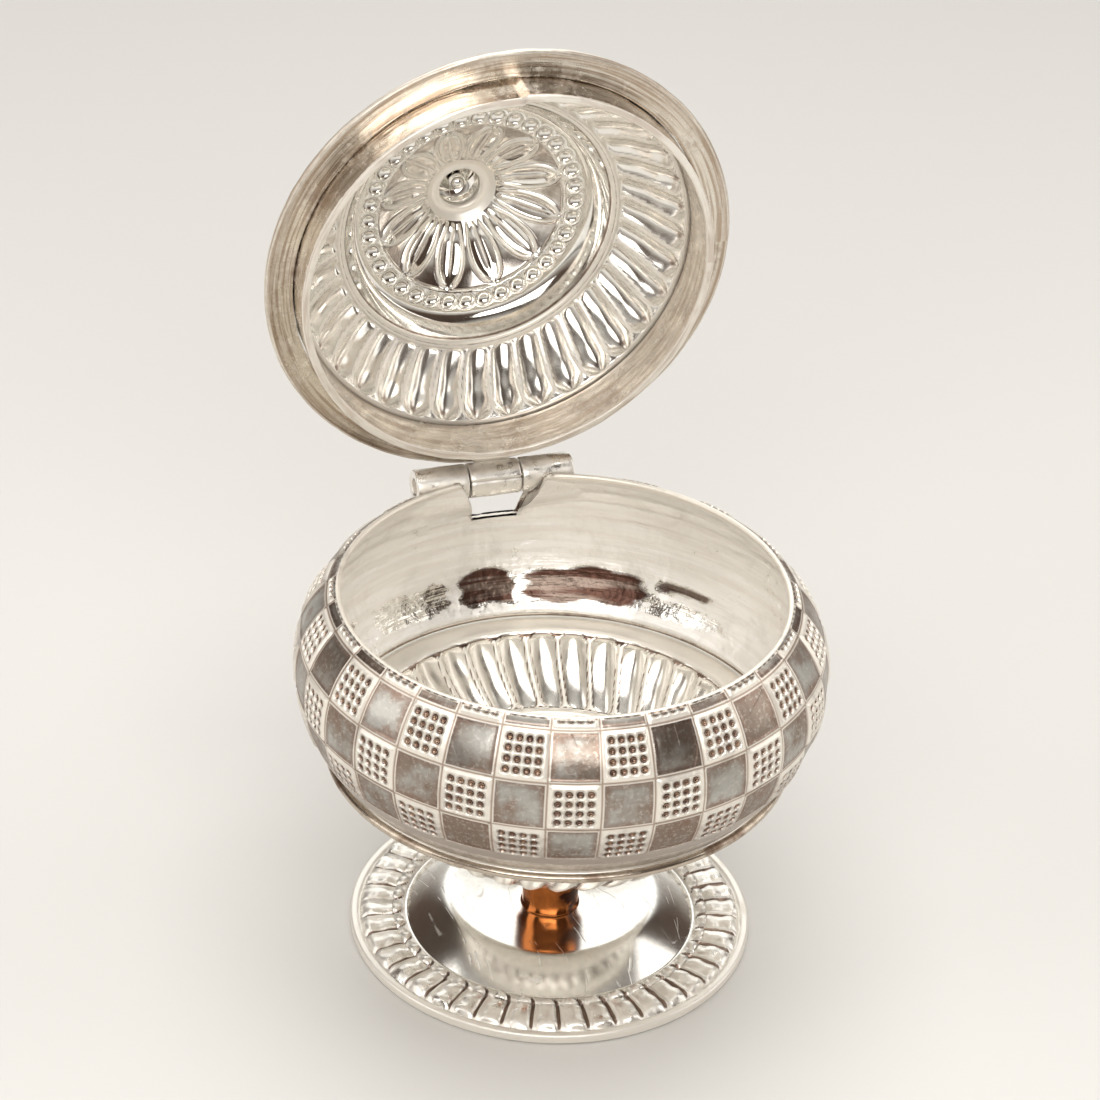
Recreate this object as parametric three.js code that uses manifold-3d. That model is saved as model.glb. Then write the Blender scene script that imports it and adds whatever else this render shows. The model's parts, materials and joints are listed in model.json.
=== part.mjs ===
// Silver sindoor box: a footed round bowl under a domed lid on a three-knuckle hinge, standing open.
// Millimetres, +Z up. The bowl turns about a vertical axis, and the hinge lies behind it, along X.

import * as THREE from 'three';
import { mergeVertices } from 'three/addons/utils/BufferGeometryUtils.js';
import Module from 'manifold-3d';

// Sheet, solder and clearances
const SHEET = 0.7; // silver sheet of the foot, dish, wall, bezel strip and dome
const SOLDER = 0.1; // film between two pieces that are soldered together
const SEAT_GAP = 0.3; // room left round the hinge tube where a piece is hollowed for it

// Bowl wall, barrel shaped
const BOWL_R = 24;
const BOWL_WIDEST_Z = 28.9;
const RIM_R = 20.45;
const RIM_Z = 36.4;
const SEAM_R = 20.7; // lower edge of the wall, where it meets the dish
const SEAM_Z = 20.6;

// Dish under the wall, pressed with gadroons
const DISH_DEPTH = 8.6; // from the seam down to its underside
const DISH_BAND_DROP = 5.8; // height taken by the gadroon band
const DISH_SHOULDER = 2.1; // plain ledge between the wall and the gadroons

// Gadroons of the dish and of the lid's dome
const GADROONS = 36;
const GADROON_RELIEF = 0.55;
const GADROON_IN_R = 13.6;
const GADROON_BULGE = 0.1; // how far the band bows out, as a share of its height
const GADROON_TWIST = -4; // degrees that the tops lean round the axis

// Foot, a pressed plate: a fluted border round a polished disc that is sunk towards the stem
const FOOT_R = 18.6;
const FOOT_EDGE = 1.1; // width of the flat outer ring it stands on
const FOOT_EDGE_H = 0.9;
const FLUTES = 42;
const FLUTE_IN_R = 13.9;
const FLUTE_RELIEF = 0.45;
const FLUTE_Z = 1.5; // top of the flutes
const FLUTE_CREST = [0.25, 0.7]; // where the flutes stand highest, as shares of their length from outside
const FOOT_DISC_Z = 1.0; // where the polished disc begins, inside the flutes
const CREST_R = 9.7; // highest ring of the disc
const CREST_Z = 3.3;
const CREST_BOW = 0.18; // how far the way up to the crest bows out, as a share of its height
const WELL_Z = 2.1; // the disc at the stem

// Stem
const STEM_R = 2.6;
const STEM_WALL = 0.6;
const STEM_SEAT = 0.9; // flat on foot and dish round the ends of the stem

// Seam ring, a round wire round the joint of dish and wall
const SEAM_WIRE_R = 0.38;

// Hinge
const HINGE_OUT = 2.05; // axis outside the rim's radius
const HINGE_DROP = 1.5; // axis below the rim
const TUBE_R = 1.65;
const PIN_R = 0.75;
const PIN_FIT = 0.08; // radial clearance of the pin in the tubes
const MIDDLE_KNUCKLE = 4.9;
const SIDE_KNUCKLE = 5.0;
const KNUCKLE_GAP = 0.15;
const LID_OPEN_ANGLE = 84.5;
const LEAF_WIDTH = 3.5;
const LEAF_SHEET = 0.8;

// Notch in the rim under the middle knuckle, with shoulders that curve down from the rim
const NOTCH_BOTTOM_HALF = 2.5;
const NOTCH_SHOULDER = 2.6;
const NOTCH_DEPTH = 6.1;

// Lid, in its closed place
const LID_REST_GAP = 0.2; // brim above the rim when shut
const BEZEL_FIT = 0.5; // bezel strip inside the mouth
const BEZEL_DROP = 3.0; // strip below the rim
const BRIM_OVERHANG = 1.45; // brim outside the rim's radius
const BRIM_HEIGHT = 2.0;
// The brim's moulding from its outer foot to its inner top, as shares of its width and height
const BRIM_MOULDING = [[1, 0.2], [1, 0.45], [0.7, 0.7], [0.4, 0.75], [0.2, 1]];
const SHOULDER_RISE = 1.85; // from the rim to the outer ends of the gadroons
const SHOULDER_WIDTH = 1.3;
const DOME_BAND_RISE = 5.4; // height taken by the lid's gadroon band
const BEADS = 36;
const BEAD_R = 9.9;
const BEAD_RELIEF = 0.55;
const BEAD_RISE = 2.45; // beads above the top of the gadroon band
const PETALS = 12;
const PETAL_OUT_R = 8.9;
const PETAL_IN_R = 4.0;
const PETAL_RELIEF = 0.4;
const BOSS_R = 2.6;
const BOSS_RISE = 6.5; // boss above the top of the gadroon band
const BOSS_HOLE_R = 2.0;

// Knob on the lid and the rivet that holds it
const KNOB_BASE_R = 3.0;
const KNOB_BASE_H = 1.4;
const KNOB_NECK_R = 1.1;
const KNOB_BALL_R = 1.9;
const KNOB_HOLLOW = 1.0; // depth of the hollow under the knob
const RIVET_R = 0.5;
const RIVET_FIT = 0.1;
const RIVET_HEAD_R = 0.8;
const RIVET_LENGTH = 2.4;

// Facets: round pieces, the wall and the small turned pieces
const FACETS_WALL = 64;
const FACETS_SMALL = 32;
const FACETS_PIN = 24;
const PER_RIB = 2; // facets of one gadroon or flute: its crest and its valley
const ARC_STEPS = 4;

// Derived places
const MOUTH_R = RIM_R - SHEET;
const HINGE_Y = RIM_R + HINGE_OUT;
const HINGE_Z = RIM_Z - HINGE_DROP;
const SIDE_KNUCKLE_X = (MIDDLE_KNUCKLE + SIDE_KNUCKLE) / 2 + KNUCKLE_GAP;
const HINGE_LENGTH = MIDDLE_KNUCKLE + 2 * (KNUCKLE_GAP + SIDE_KNUCKLE);
const DISH_BOTTOM_Z = SEAM_Z - DISH_DEPTH;
const DISH_FLANGE_R = SEAM_R - SOLDER;
const BEZEL_R = MOUTH_R - BEZEL_FIT;
const BRIM_R = RIM_R + BRIM_OVERHANG;
const BRIM_Z = RIM_Z + LID_REST_GAP;
const DOME_FOOT_Z = BRIM_Z + BRIM_HEIGHT + SOLDER;
const SHOULDER_Z = RIM_Z + SHOULDER_RISE;
const BAND_TOP_Z = SHOULDER_Z + DOME_BAND_RISE;
const BOSS_Z = BAND_TOP_Z + BOSS_RISE;
const DISH_LIFT = 1.3 * SHEET; // sheet of the dish's band, measured straight up where it slopes
const DOME_LIFT = 1.5 * SHEET; // sheet of the dome, measured straight up where it slopes
const KNOB_Z = BOSS_Z + DOME_LIFT + SOLDER; // underside of the knob

const deg = THREE.MathUtils.degToRad;
const lerp = THREE.MathUtils.lerp;
const wasm = await Module();
wasm.setup();

// A row is one ring of a revolved skin: radius, height, relief pushed to the right of the way
// that the rows run, the wave that scales the relief round the axis, and a turn in degrees.
const ring = (r, z, relief = 0, wave = null, turn = 0) => ({ r, z, relief, wave, turn });
const ripple = (count) => (angle) => 0.5 - 0.5 * Math.cos(count * angle);

// Turns a geometry's faces outwards, judged by the sign of its volume.
function facingOut(geometry) {
  const index = geometry.getIndex().array;
  const [a, b, c] = [new THREE.Vector3(), new THREE.Vector3(), new THREE.Vector3()];
  const at = geometry.getAttribute('position');
  let volume = 0;
  for (let i = 0; i < index.length; i += 3) {
    a.fromBufferAttribute(at, index[i]);
    b.fromBufferAttribute(at, index[i + 1]);
    c.fromBufferAttribute(at, index[i + 2]);
    volume += a.dot(b.cross(c));
  }
  if (volume < 0) {
    for (let i = 0; i < index.length; i += 3) {
      [index[i + 1], index[i + 2]] = [index[i + 2], index[i + 1]];
    }
  }
  return geometry;
}

// Revolves rows about Z. A skin whose first and last rows lie on the axis is capped there,
// and any other skin closes on itself.
function revolve(rows, columns) {
  const polar = rows[0].r === 0;
  const positions = [];
  rows.forEach((row, k) => {
    const before = rows[(k + rows.length - 1) % rows.length];
    const after = rows[(k + 1) % rows.length];
    const slope = new THREE.Vector2(after.r - before.r, after.z - before.z).normalize();
    for (let c = 0; c < columns; c += 1) {
      const column = (2 * Math.PI * c) / columns;
      const push = row.relief * (row.wave ? row.wave(column) : 0);
      const angle = column + deg(row.turn);
      const r = row.r + slope.y * push;
      positions.push(r * Math.cos(angle), r * Math.sin(angle), row.z - slope.x * push);
    }
  });
  const index = [];
  const last = polar ? rows.length - 1 : rows.length;
  for (let k = 0; k < last; k += 1) {
    const next = (k + 1) % rows.length;
    for (let c = 0; c < columns; c += 1) {
      const d = (c + 1) % columns;
      const corners = [k * columns + c, next * columns + c, next * columns + d, k * columns + d];
      if (rows[k].r > 0) index.push(corners[0], corners[1], corners[3]);
      if (rows[next].r > 0) index.push(corners[1], corners[2], corners[3]);
    }
  }
  const geometry = new THREE.BufferGeometry();
  geometry.setAttribute('position', new THREE.Float32BufferAttribute(positions, 3));
  geometry.setIndex(index);
  return facingOut(mergeVertices(geometry, 1e-5));
}

// Arc from the widest point of a barrel to one of its ends, with a vertical tangent at the widest.
function barrelArc(widestR, widestZ, endR, endZ, steps) {
  const inset = widestR - endR;
  const height = endZ - widestZ;
  const radius = (inset * inset + height * height) / (2 * inset);
  const sweep = Math.asin(height / radius);
  const rows = [];
  for (let i = 0; i <= steps; i += 1) {
    const t = (sweep * i) / steps;
    rows.push(ring(widestR - radius + radius * Math.cos(t), widestZ + radius * Math.sin(t)));
  }
  return rows;
}

// Rows of a gadroon band, from its outer ends to its inner ends.
function gadroonBand(outerR, outerZ, innerZ, relief, steps) {
  const rows = [];
  for (let i = 0; i <= steps; i += 1) {
    const t = i / steps;
    const bow = GADROON_BULGE * Math.sin(Math.PI * t);
    const fade = Math.sin(Math.PI * lerp(0.14, 0.9, t));
    const z = lerp(outerZ, innerZ, t + bow);
    rows.push(ring(lerp(outerR, GADROON_IN_R, t), z, relief * fade, ripple(GADROONS), GADROON_TWIST * t));
  }
  return rows;
}

const flipped = (rows) => [...rows].reverse();
const lifted = (rows, dz) => rows.map((row) => ({ ...row, z: row.z + dz }));

// Booleans
function solidOf(geometry) {
  const plain = geometry.clone();
  plain.deleteAttribute('normal');
  plain.deleteAttribute('uv');
  const merged = mergeVertices(plain, 1e-5);
  return new wasm.Manifold(new wasm.Mesh({
    numProp: 3,
    vertProperties: Float32Array.from(merged.getAttribute('position').array),
    triVerts: Uint32Array.from(merged.getIndex().array),
  }));
}

function geometryOf(solid) {
  const mesh = solid.getMesh();
  const geometry = new THREE.BufferGeometry();
  geometry.setAttribute('position', new THREE.Float32BufferAttribute(mesh.vertProperties, 3));
  geometry.setIndex(new THREE.Uint32BufferAttribute(mesh.triVerts, 1));
  return geometry;
}

// A rod along X, centred on the hinge axis.
function hingeRod(radius, length, x = 0) {
  const rod = new THREE.CylinderGeometry(radius, radius, length, FACETS_SMALL);
  rod.rotateZ(Math.PI / 2);
  rod.translate(x, HINGE_Y, HINGE_Z);
  return rod;
}

const hingeRoom = () => solidOf(hingeRod(TUBE_R + SEAT_GAP, HINGE_LENGTH + 2 * SEAT_GAP));

// Foot: flat outer ring, fluted border, and a disc that rises to its crest and sinks to the stem.
function footPlate() {
  const bore = STEM_R - STEM_WALL;
  const discRows = (drop, steps) => {
    const rows = [];
    for (let i = 0; i <= steps; i += 1) {
      const t = i / steps;
      const rise = (CREST_Z - FOOT_DISC_Z) * t * (1 + CREST_BOW * (1 - t));
      rows.push(ring(lerp(FLUTE_IN_R - FLUTE_RELIEF, CREST_R, t), FOOT_DISC_Z + rise - drop));
    }
    rows.push(ring(STEM_R + STEM_SEAT, WELL_Z - drop));
    rows.push(ring(bore, WELL_Z - drop));
    return rows;
  };
  const fluteRows = (drop, relief) => [
    ring(FOOT_R - FOOT_EDGE, FOOT_EDGE_H - drop),
    ...FLUTE_CREST.map((t) => {
      const r = lerp(FOOT_R - FOOT_EDGE, FLUTE_IN_R, t);
      return ring(r, FLUTE_Z - drop, relief, ripple(FLUTES));
    }),
    ring(FLUTE_IN_R, FOOT_DISC_Z - drop),
  ];
  const rows = [
    ...flipped(discRows(0, 3)),
    ...flipped(fluteRows(0, -FLUTE_RELIEF)),
    ring(FOOT_R, FOOT_EDGE_H),
    ring(FOOT_R, 0),
    ...fluteRows(FOOT_EDGE_H, FLUTE_RELIEF),
    ...discRows(SHEET, 2),
  ];
  return revolve(rows, FLUTES * PER_RIB);
}

// Stem: a short tube from the foot's disc to the dish.
function stemTube() {
  const bottom = WELL_Z + SOLDER;
  const top = DISH_BOTTOM_Z - SOLDER;
  const bore = STEM_R - STEM_WALL;
  const rows = [ring(STEM_R, bottom), ring(STEM_R, top), ring(bore, top), ring(bore, bottom)];
  return revolve(rows, FACETS_SMALL);
}

// Dish: closed bottom, gadroon band and the flange that carries the wall. Both skins are pressed
// down and out, and their reliefs differ in sign because their rows run opposite ways.
function bowlBase() {
  const flangeTop = SEAM_Z - SOLDER;
  const bandOutR = SEAM_R - SHEET - DISH_SHOULDER;
  const bandTop = flangeTop - SOLDER;
  const bandBottom = bandTop - DISH_BAND_DROP;
  const band = (relief) => gadroonBand(bandOutR, bandTop, bandBottom, relief, ARC_STEPS);
  const inside = [
    ring(0, DISH_BOTTOM_Z + SHEET),
    ring(GADROON_IN_R / 2, DISH_BOTTOM_Z + SHEET + SOLDER, 0, null, GADROON_TWIST),
    ring(GADROON_IN_R - SHEET, bandBottom - SHEET, 0, null, GADROON_TWIST),
    ...flipped(band(GADROON_RELIEF)),
    ring(bandOutR + SHEET / 2, flangeTop),
    ring(DISH_FLANGE_R, flangeTop),
  ];
  const outside = [
    ring(0, DISH_BOTTOM_Z),
    ring(STEM_R + STEM_SEAT, DISH_BOTTOM_Z),
    ring(GADROON_IN_R - SHEET / 2, bandBottom - 2 * SHEET, 0, null, GADROON_TWIST),
    ...lifted(flipped(band(-GADROON_RELIEF)), -DISH_LIFT),
    ring(DISH_FLANGE_R, flangeTop - SHEET),
  ];
  return revolve([...inside, ...flipped(outside)], GADROONS * PER_RIB);
}

// Seam ring: a closed wire round the dish's flange, just under the wall.
function seamRing() {
  const wire = new THREE.TorusGeometry(DISH_FLANGE_R + SOLDER + SEAM_WIRE_R, SEAM_WIRE_R, 6, FACETS_WALL);
  wire.translate(0, 0, SEAM_Z - SOLDER - SHEET / 2 - SEAM_WIRE_R / 2);
  return wire;
}

// Outline of the bowl's wall, from its rim down to the seam.
function wallOutline(inset) {
  const upper = barrelArc(BOWL_R - inset, BOWL_WIDEST_Z, RIM_R - inset, RIM_Z, ARC_STEPS);
  const lower = barrelArc(BOWL_R - inset, BOWL_WIDEST_Z, SEAM_R - inset, SEAM_Z, ARC_STEPS);
  return [...flipped(upper), ...lower.slice(1)];
}

// The rim's notch, cut straight back through the wall.
function notchCutter() {
  const bottom = RIM_Z - NOTCH_DEPTH;
  const shoulder = NOTCH_BOTTOM_HALF + NOTCH_SHOULDER;
  const middle = NOTCH_BOTTOM_HALF + NOTCH_SHOULDER * 0.35;
  const above = RIM_Z + SHEET;
  const outline = new THREE.Shape();
  outline.moveTo(-shoulder, above);
  outline.lineTo(-shoulder, RIM_Z);
  outline.bezierCurveTo(-middle, RIM_Z, -middle, bottom, -NOTCH_BOTTOM_HALF * 0.7, bottom);
  outline.lineTo(NOTCH_BOTTOM_HALF * 0.7, bottom);
  outline.bezierCurveTo(middle, bottom, middle, RIM_Z, shoulder, RIM_Z);
  outline.lineTo(shoulder, above);
  const straight = { depth: BOWL_R, bevelEnabled: false, curveSegments: 8 };
  const cutter = new THREE.ExtrudeGeometry(outline, straight);
  cutter.rotateX(Math.PI / 2);
  cutter.translate(0, BOWL_R + MOUTH_R / 2, 0);
  return cutter;
}

// Wall: barrel shell, pressed in where the hinge tube beds, with the notch under the middle knuckle.
function bowlWall() {
  const shell = solidOf(revolve([...wallOutline(0), ...flipped(wallOutline(SHEET))], FACETS_WALL));
  const filled = solidOf(revolve([ring(0, RIM_Z), ...wallOutline(0), ring(0, SEAM_Z)], FACETS_WALL));
  const bedR = TUBE_R + SEAT_GAP + SHEET;
  const bed = solidOf(hingeRod(bedR, HINGE_LENGTH + 2 * (SEAT_GAP + SHEET))).intersect(filled);
  const wall = shell.add(bed).subtract(hingeRoom()).subtract(solidOf(notchCutter()));
  return geometryOf(wall);
}

// One hinge knuckle: a tube along X about the hinge axis.
function knuckle(length, x) {
  const tube = solidOf(hingeRod(TUBE_R, length, x));
  return geometryOf(tube.subtract(solidOf(hingeRod(PIN_R + PIN_FIT, 2 * length, x))));
}

function hingePin() {
  const pin = new THREE.CylinderGeometry(PIN_R, PIN_R, HINGE_LENGTH, FACETS_PIN);
  pin.rotateZ(Math.PI / 2);
  pin.translate(0, HINGE_Y, HINGE_Z);
  return pin;
}

// Leaf: the plate that joins the middle knuckle to the lid's bezel strip, under the brim.
function lidLeaf() {
  const reach = HINGE_Y - BEZEL_R - SOLDER;
  const plate = new THREE.BoxGeometry(LEAF_WIDTH, reach, LEAF_SHEET);
  plate.translate(0, HINGE_Y - reach / 2, BRIM_Z - SOLDER - LEAF_SHEET / 2);
  return geometryOf(solidOf(plate).subtract(solidOf(hingeRod(TUBE_R + SOLDER, LEAF_WIDTH * 2))));
}

// Bezel strip: the straight band that drops inside the bowl's mouth.
function lidBezel() {
  const bottom = RIM_Z - BEZEL_DROP;
  const outside = [ring(BEZEL_R, bottom), ring(BEZEL_R, SHOULDER_Z)];
  const inside = [ring(BEZEL_R - SHEET, SHOULDER_Z), ring(BEZEL_R - SHEET, bottom)];
  return revolve([...outside, ...inside], GADROONS * PER_RIB);
}

// Brim: the moulded ring that rests on the rim, hollowed at the back for the hinge tube.
function lidBrim() {
  const inner = BEZEL_R + SOLDER;
  const width = BRIM_R - inner;
  const rows = [
    ring(inner, BRIM_Z),
    ring(BRIM_R - SHEET / 2, BRIM_Z),
    ...BRIM_MOULDING.map(([out, up]) => ring(inner + out * width, BRIM_Z + up * BRIM_HEIGHT)),
    ring(inner, BRIM_Z + BRIM_HEIGHT),
  ];
  return geometryOf(solidOf(revolve(rows, GADROONS * PER_RIB)).subtract(hingeRoom()));
}

// Dome: shoulder, gadroon band, ridge, polished cove, beads, petals and the boss round its hole.
// Side is 1 for the outer skin and -1 for the inner one, whose rows run the other way.
function lidDome() {
  const beadZ = BAND_TOP_Z + BEAD_RISE;
  const bandOutR = BEZEL_R - SHOULDER_WIDTH;
  const skin = (side, lift) => {
    const turn = GADROON_TWIST;
    const at = (r, z, relief = 0, wave = null) => ring(r, z + lift, side * relief, wave, turn);
    const band = gadroonBand(bandOutR, SHOULDER_Z, BAND_TOP_Z, side * GADROON_RELIEF, ARC_STEPS);
    return [
      ...lifted(band, lift),
      at(GADROON_IN_R - SHEET, BAND_TOP_Z),
      at(lerp(GADROON_IN_R, BEAD_R, 0.55), lerp(BAND_TOP_Z, beadZ, 0.5)),
      at(BEAD_R + 0.6, beadZ - 0.2),
      at(BEAD_R, beadZ, BEAD_RELIEF, ripple(BEADS)),
      at(PETAL_OUT_R, beadZ + 0.3),
      at(lerp(PETAL_OUT_R, PETAL_IN_R, 0.5), lerp(beadZ, BOSS_Z, 0.45), PETAL_RELIEF, ripple(PETALS)),
      at(PETAL_IN_R, lerp(beadZ, BOSS_Z, 0.85)),
      at(BOSS_R, BOSS_Z),
      at(BOSS_HOLE_R, BOSS_Z),
    ];
  };
  const rows = [
    ring(BEZEL_R, DOME_FOOT_Z),
    ring(BEZEL_R, DOME_FOOT_Z + SHEET),
    ...skin(1, DOME_LIFT),
    ...flipped(skin(-1, 0)),
  ];
  return revolve(rows, GADROONS * PER_RIB);
}

// Knob: turned finial over the boss, hollow underneath and bored for its rivet.
function lidKnob() {
  const base = KNOB_Z;
  const ballZ = base + KNOB_BASE_H + KNOB_BALL_R;
  const bore = RIVET_R + RIVET_FIT;
  const boreTop = base + RIVET_LENGTH;
  const rows = [
    ring(BOSS_HOLE_R, base),
    ring(KNOB_BASE_R, base),
    ring(KNOB_BASE_R, base + 0.5 * KNOB_BASE_H),
    ring(lerp(KNOB_BASE_R, KNOB_NECK_R, 0.6), base + 0.8 * KNOB_BASE_H),
    ring(KNOB_NECK_R, base + KNOB_BASE_H),
    ring(KNOB_BALL_R * 0.9, ballZ - 0.5 * KNOB_BALL_R),
    ring(KNOB_BALL_R, ballZ),
    ring(KNOB_BALL_R * 0.75, ballZ + 0.66 * KNOB_BALL_R),
    ring(KNOB_BALL_R * 0.25, ballZ + KNOB_BALL_R),
    ring(0, ballZ + 1.2 * KNOB_BALL_R),
  ];
  const hollow = [
    ring(0, boreTop),
    ring(bore, boreTop),
    ring(bore, base + KNOB_HOLLOW),
    ring(BOSS_HOLE_R, base + KNOB_HOLLOW),
  ];
  return revolve([...hollow, ...rows], FACETS_SMALL);
}

// Rivet: round head in the boss's hole and a shank up into the knob.
function knobRivet() {
  const headZ = KNOB_Z + KNOB_HOLLOW - RIVET_FIT - RIVET_HEAD_R;
  const shankTop = KNOB_Z + RIVET_LENGTH - RIVET_FIT;
  const rows = [ring(0, headZ - RIVET_HEAD_R)];
  for (let i = 1; i <= 5; i += 1) {
    const t = (Math.PI * i) / 7;
    rows.push(ring(RIVET_HEAD_R * Math.sin(t), headZ - RIVET_HEAD_R * Math.cos(t)));
  }
  rows.push(ring(RIVET_R, headZ + RIVET_HEAD_R));
  rows.push(ring(RIVET_R, shankTop));
  rows.push(ring(0, shankTop));
  return revolve(rows, FACETS_SMALL / 2);
}

// Finishes
const polished = { color: 0xdcd6ca, roughness: 0.18, metalness: 1 };
const frosted = { color: 0xd8d2c2, roughness: 0.42, metalness: 1 };
const toned = { color: 0xb9ab93, roughness: 0.35, metalness: 1 };

function piece(name, geometry, finish) {
  const mesh = new THREE.Mesh(geometry, new THREE.MeshStandardMaterial(finish));
  mesh.name = name;
  return mesh;
}

const bowl = new THREE.Group();
bowl.add(
  piece('foot_plate', footPlate(), polished),
  piece('stem_tube', stemTube(), toned),
  piece('bowl_base', bowlBase(), polished),
  piece('seam_ring', seamRing(), toned),
  piece('bowl_wall', bowlWall(), frosted),
  piece('hinge_knuckle_left', knuckle(SIDE_KNUCKLE, -SIDE_KNUCKLE_X), polished),
  piece('hinge_knuckle_right', knuckle(SIDE_KNUCKLE, SIDE_KNUCKLE_X), polished),
  piece('hinge_pin', hingePin(), toned),
);

// The lid's pieces are drawn shut, then turned open about the hinge axis.
const lid = new THREE.Group();
lid.position.set(0, -HINGE_Y, -HINGE_Z);
lid.add(
  piece('hinge_knuckle_middle', knuckle(MIDDLE_KNUCKLE, 0), polished),
  piece('lid_hinge_leaf', lidLeaf(), polished),
  piece('lid_bezel', lidBezel(), frosted),
  piece('lid_brim', lidBrim(), frosted),
  piece('lid_dome', lidDome(), polished),
  piece('lid_knob', lidKnob(), polished),
  piece('knob_rivet', knobRivet(), polished),
);
const lidPivot = new THREE.Group();
lidPivot.position.set(0, HINGE_Y, HINGE_Z);
lidPivot.rotation.x = -deg(LID_OPEN_ANGLE);
lidPivot.add(lid);

// The origin is on the table, under the middle of the open box.
const box = new THREE.Group();
box.add(bowl, lidPivot);
const bounds = new THREE.Box3().setFromObject(box, true);
box.position.y = -(bounds.min.y + bounds.max.y) / 2;

export default box;
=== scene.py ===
import json
import math
from contextlib import contextmanager

import bpy
import numpy as np
from mathutils import Matrix, Vector


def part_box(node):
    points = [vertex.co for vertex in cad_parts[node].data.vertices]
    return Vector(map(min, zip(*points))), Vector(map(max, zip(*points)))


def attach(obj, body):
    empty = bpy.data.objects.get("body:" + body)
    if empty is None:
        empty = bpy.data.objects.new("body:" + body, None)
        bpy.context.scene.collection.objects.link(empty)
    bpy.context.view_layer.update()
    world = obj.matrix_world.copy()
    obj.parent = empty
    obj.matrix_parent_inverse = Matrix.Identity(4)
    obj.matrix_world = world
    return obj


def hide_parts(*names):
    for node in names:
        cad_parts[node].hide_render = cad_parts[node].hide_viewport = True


# Silver sindoor box, standing open: a checkered bowl on a fluted foot under a gadrooned lid.
# Sizes are in millimetres, measured from the table and from the bowl's upright axis.
# Lid pieces are modelled shut, then turned open about the hinge.

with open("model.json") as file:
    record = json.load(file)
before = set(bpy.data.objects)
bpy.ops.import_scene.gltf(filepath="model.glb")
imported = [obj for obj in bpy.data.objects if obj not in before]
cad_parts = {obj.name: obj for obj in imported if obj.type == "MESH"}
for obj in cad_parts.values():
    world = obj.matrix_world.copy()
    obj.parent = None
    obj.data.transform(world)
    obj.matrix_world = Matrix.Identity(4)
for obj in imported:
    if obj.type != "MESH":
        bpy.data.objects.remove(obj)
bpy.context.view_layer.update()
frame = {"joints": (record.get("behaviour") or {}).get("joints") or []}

MM = 0.001
MERGE = 0.001 * MM
stem_low, stem_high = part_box("stem_tube")
AXIS_Y = (stem_low.y + stem_high.y) / 2 / MM
LID_HINGE = frame["joints"][0]
HINGE_Y = LID_HINGE["pos_m"][1] / MM - AXIS_Y
HINGE_Z = LID_HINGE["pos_m"][2] / MM
OPEN_ANGLE = math.radians(abs(min(LID_HINGE["range_deg"])))

# Columns of the turned meshes, round the axis
COLUMNS = 320
COLUMNS_PER_RIB, COLUMNS_PER_GADROON, COLUMNS_PER_CELL = 14, 16, 22

# Bowl
SHEET = 0.7
BOWL_R, BOWL_WIDEST_Z = 24.0, 28.9
RIM_R, RIM_Z = 20.45, 36.4
SEAM_R, SEAM_Z = 20.7, 20.6
SEAM_WIRE_R = 0.4
CELLS = 32
CELL_START = 260.7
CELL_DEG = 360 / CELLS
CELL_TALL, CELL_AT_R = 4.6, 23  # the radius is where the cells' width is measured
DOTS, DOT_BORDER = 4, 0.1  # dots across a cell, and the share of the cell beside them
ROW_EDGES = [-3.6, 1.0, 5.6, 10.2, 14.4]
LIP_END = 15.3
RELIEF_INSET, LIP_INSET = 0.27, 0.1

# Gadroons of the lid and the dish
GADROONS = 36
GADROON_DEG = 360 / GADROONS
GADROON_START, DISH_START = 2.0, 247.6
GADROON_LEAN = -4.5
GADROON_DEPTH, GADROON_HALF = 0.62, 0.475  # the half width is a share of the pitch
GADROON_BOW = 0.1
DISH_BAND_R, DISH_IN_R = 17.9, 13.6
DISH_TOP, DISH_LOW = 20.4, 14.6

# Foot
RIBS = 42
RIB_DEG = 360 / RIBS
RIB_START = 247.9
RIB_IN_R, RIB_OUT_R = 13.6, 17.86
DISC_R, DISC_Z = 13.45, 1.0
CREST_R, CREST_Z, CREST_BOW, CREST_SOFT = 9.7, 3.3, 0.18, 0.12
WELL_Z = 2.1
STEM_R, STEM_BORE, STEM_SEAT = 2.6, 2.0, 0.9
STEM_TOP = 11.9

# Lid
BEZEL_R, BEZEL_BOTTOM = 19.25, 33.4
OVERLAP_START, OVERLAP_DEG = 248, 22
BRIM_R, BRIM_Z, BRIM_HEIGHT = 21.9, 36.6, 2.0
SHOULDER_R, SHOULDER_Z = 18.1, 38.25
RIDGE_R, RIDGE_Z = 13.5, 43.65
OUTER_RING_R, GROOVE_R, INNER_RING_R, COVE_R = 13.42, 13.2, 12.98, 12.68
BEADS = 36
BEAD_START = 0.5
BEAD_R, BEAD_Z, BEAD_SIZE, BEAD_DEPTH = 9.9, 46.05, 0.8, 0.5
PETALS = 12
PETAL_START = 12.0
PETAL_TIP_R, PETAL_BASE_R, PETAL_HALF_DEG = 8.75, 3.8, 14.2
BOSS_R, BOSS_Z, BOSS_HOLE_R = 3.3, 50.15, 2.0
DOME_LIFT = 1.05
LINE_HEIGHT = 0.11

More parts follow.
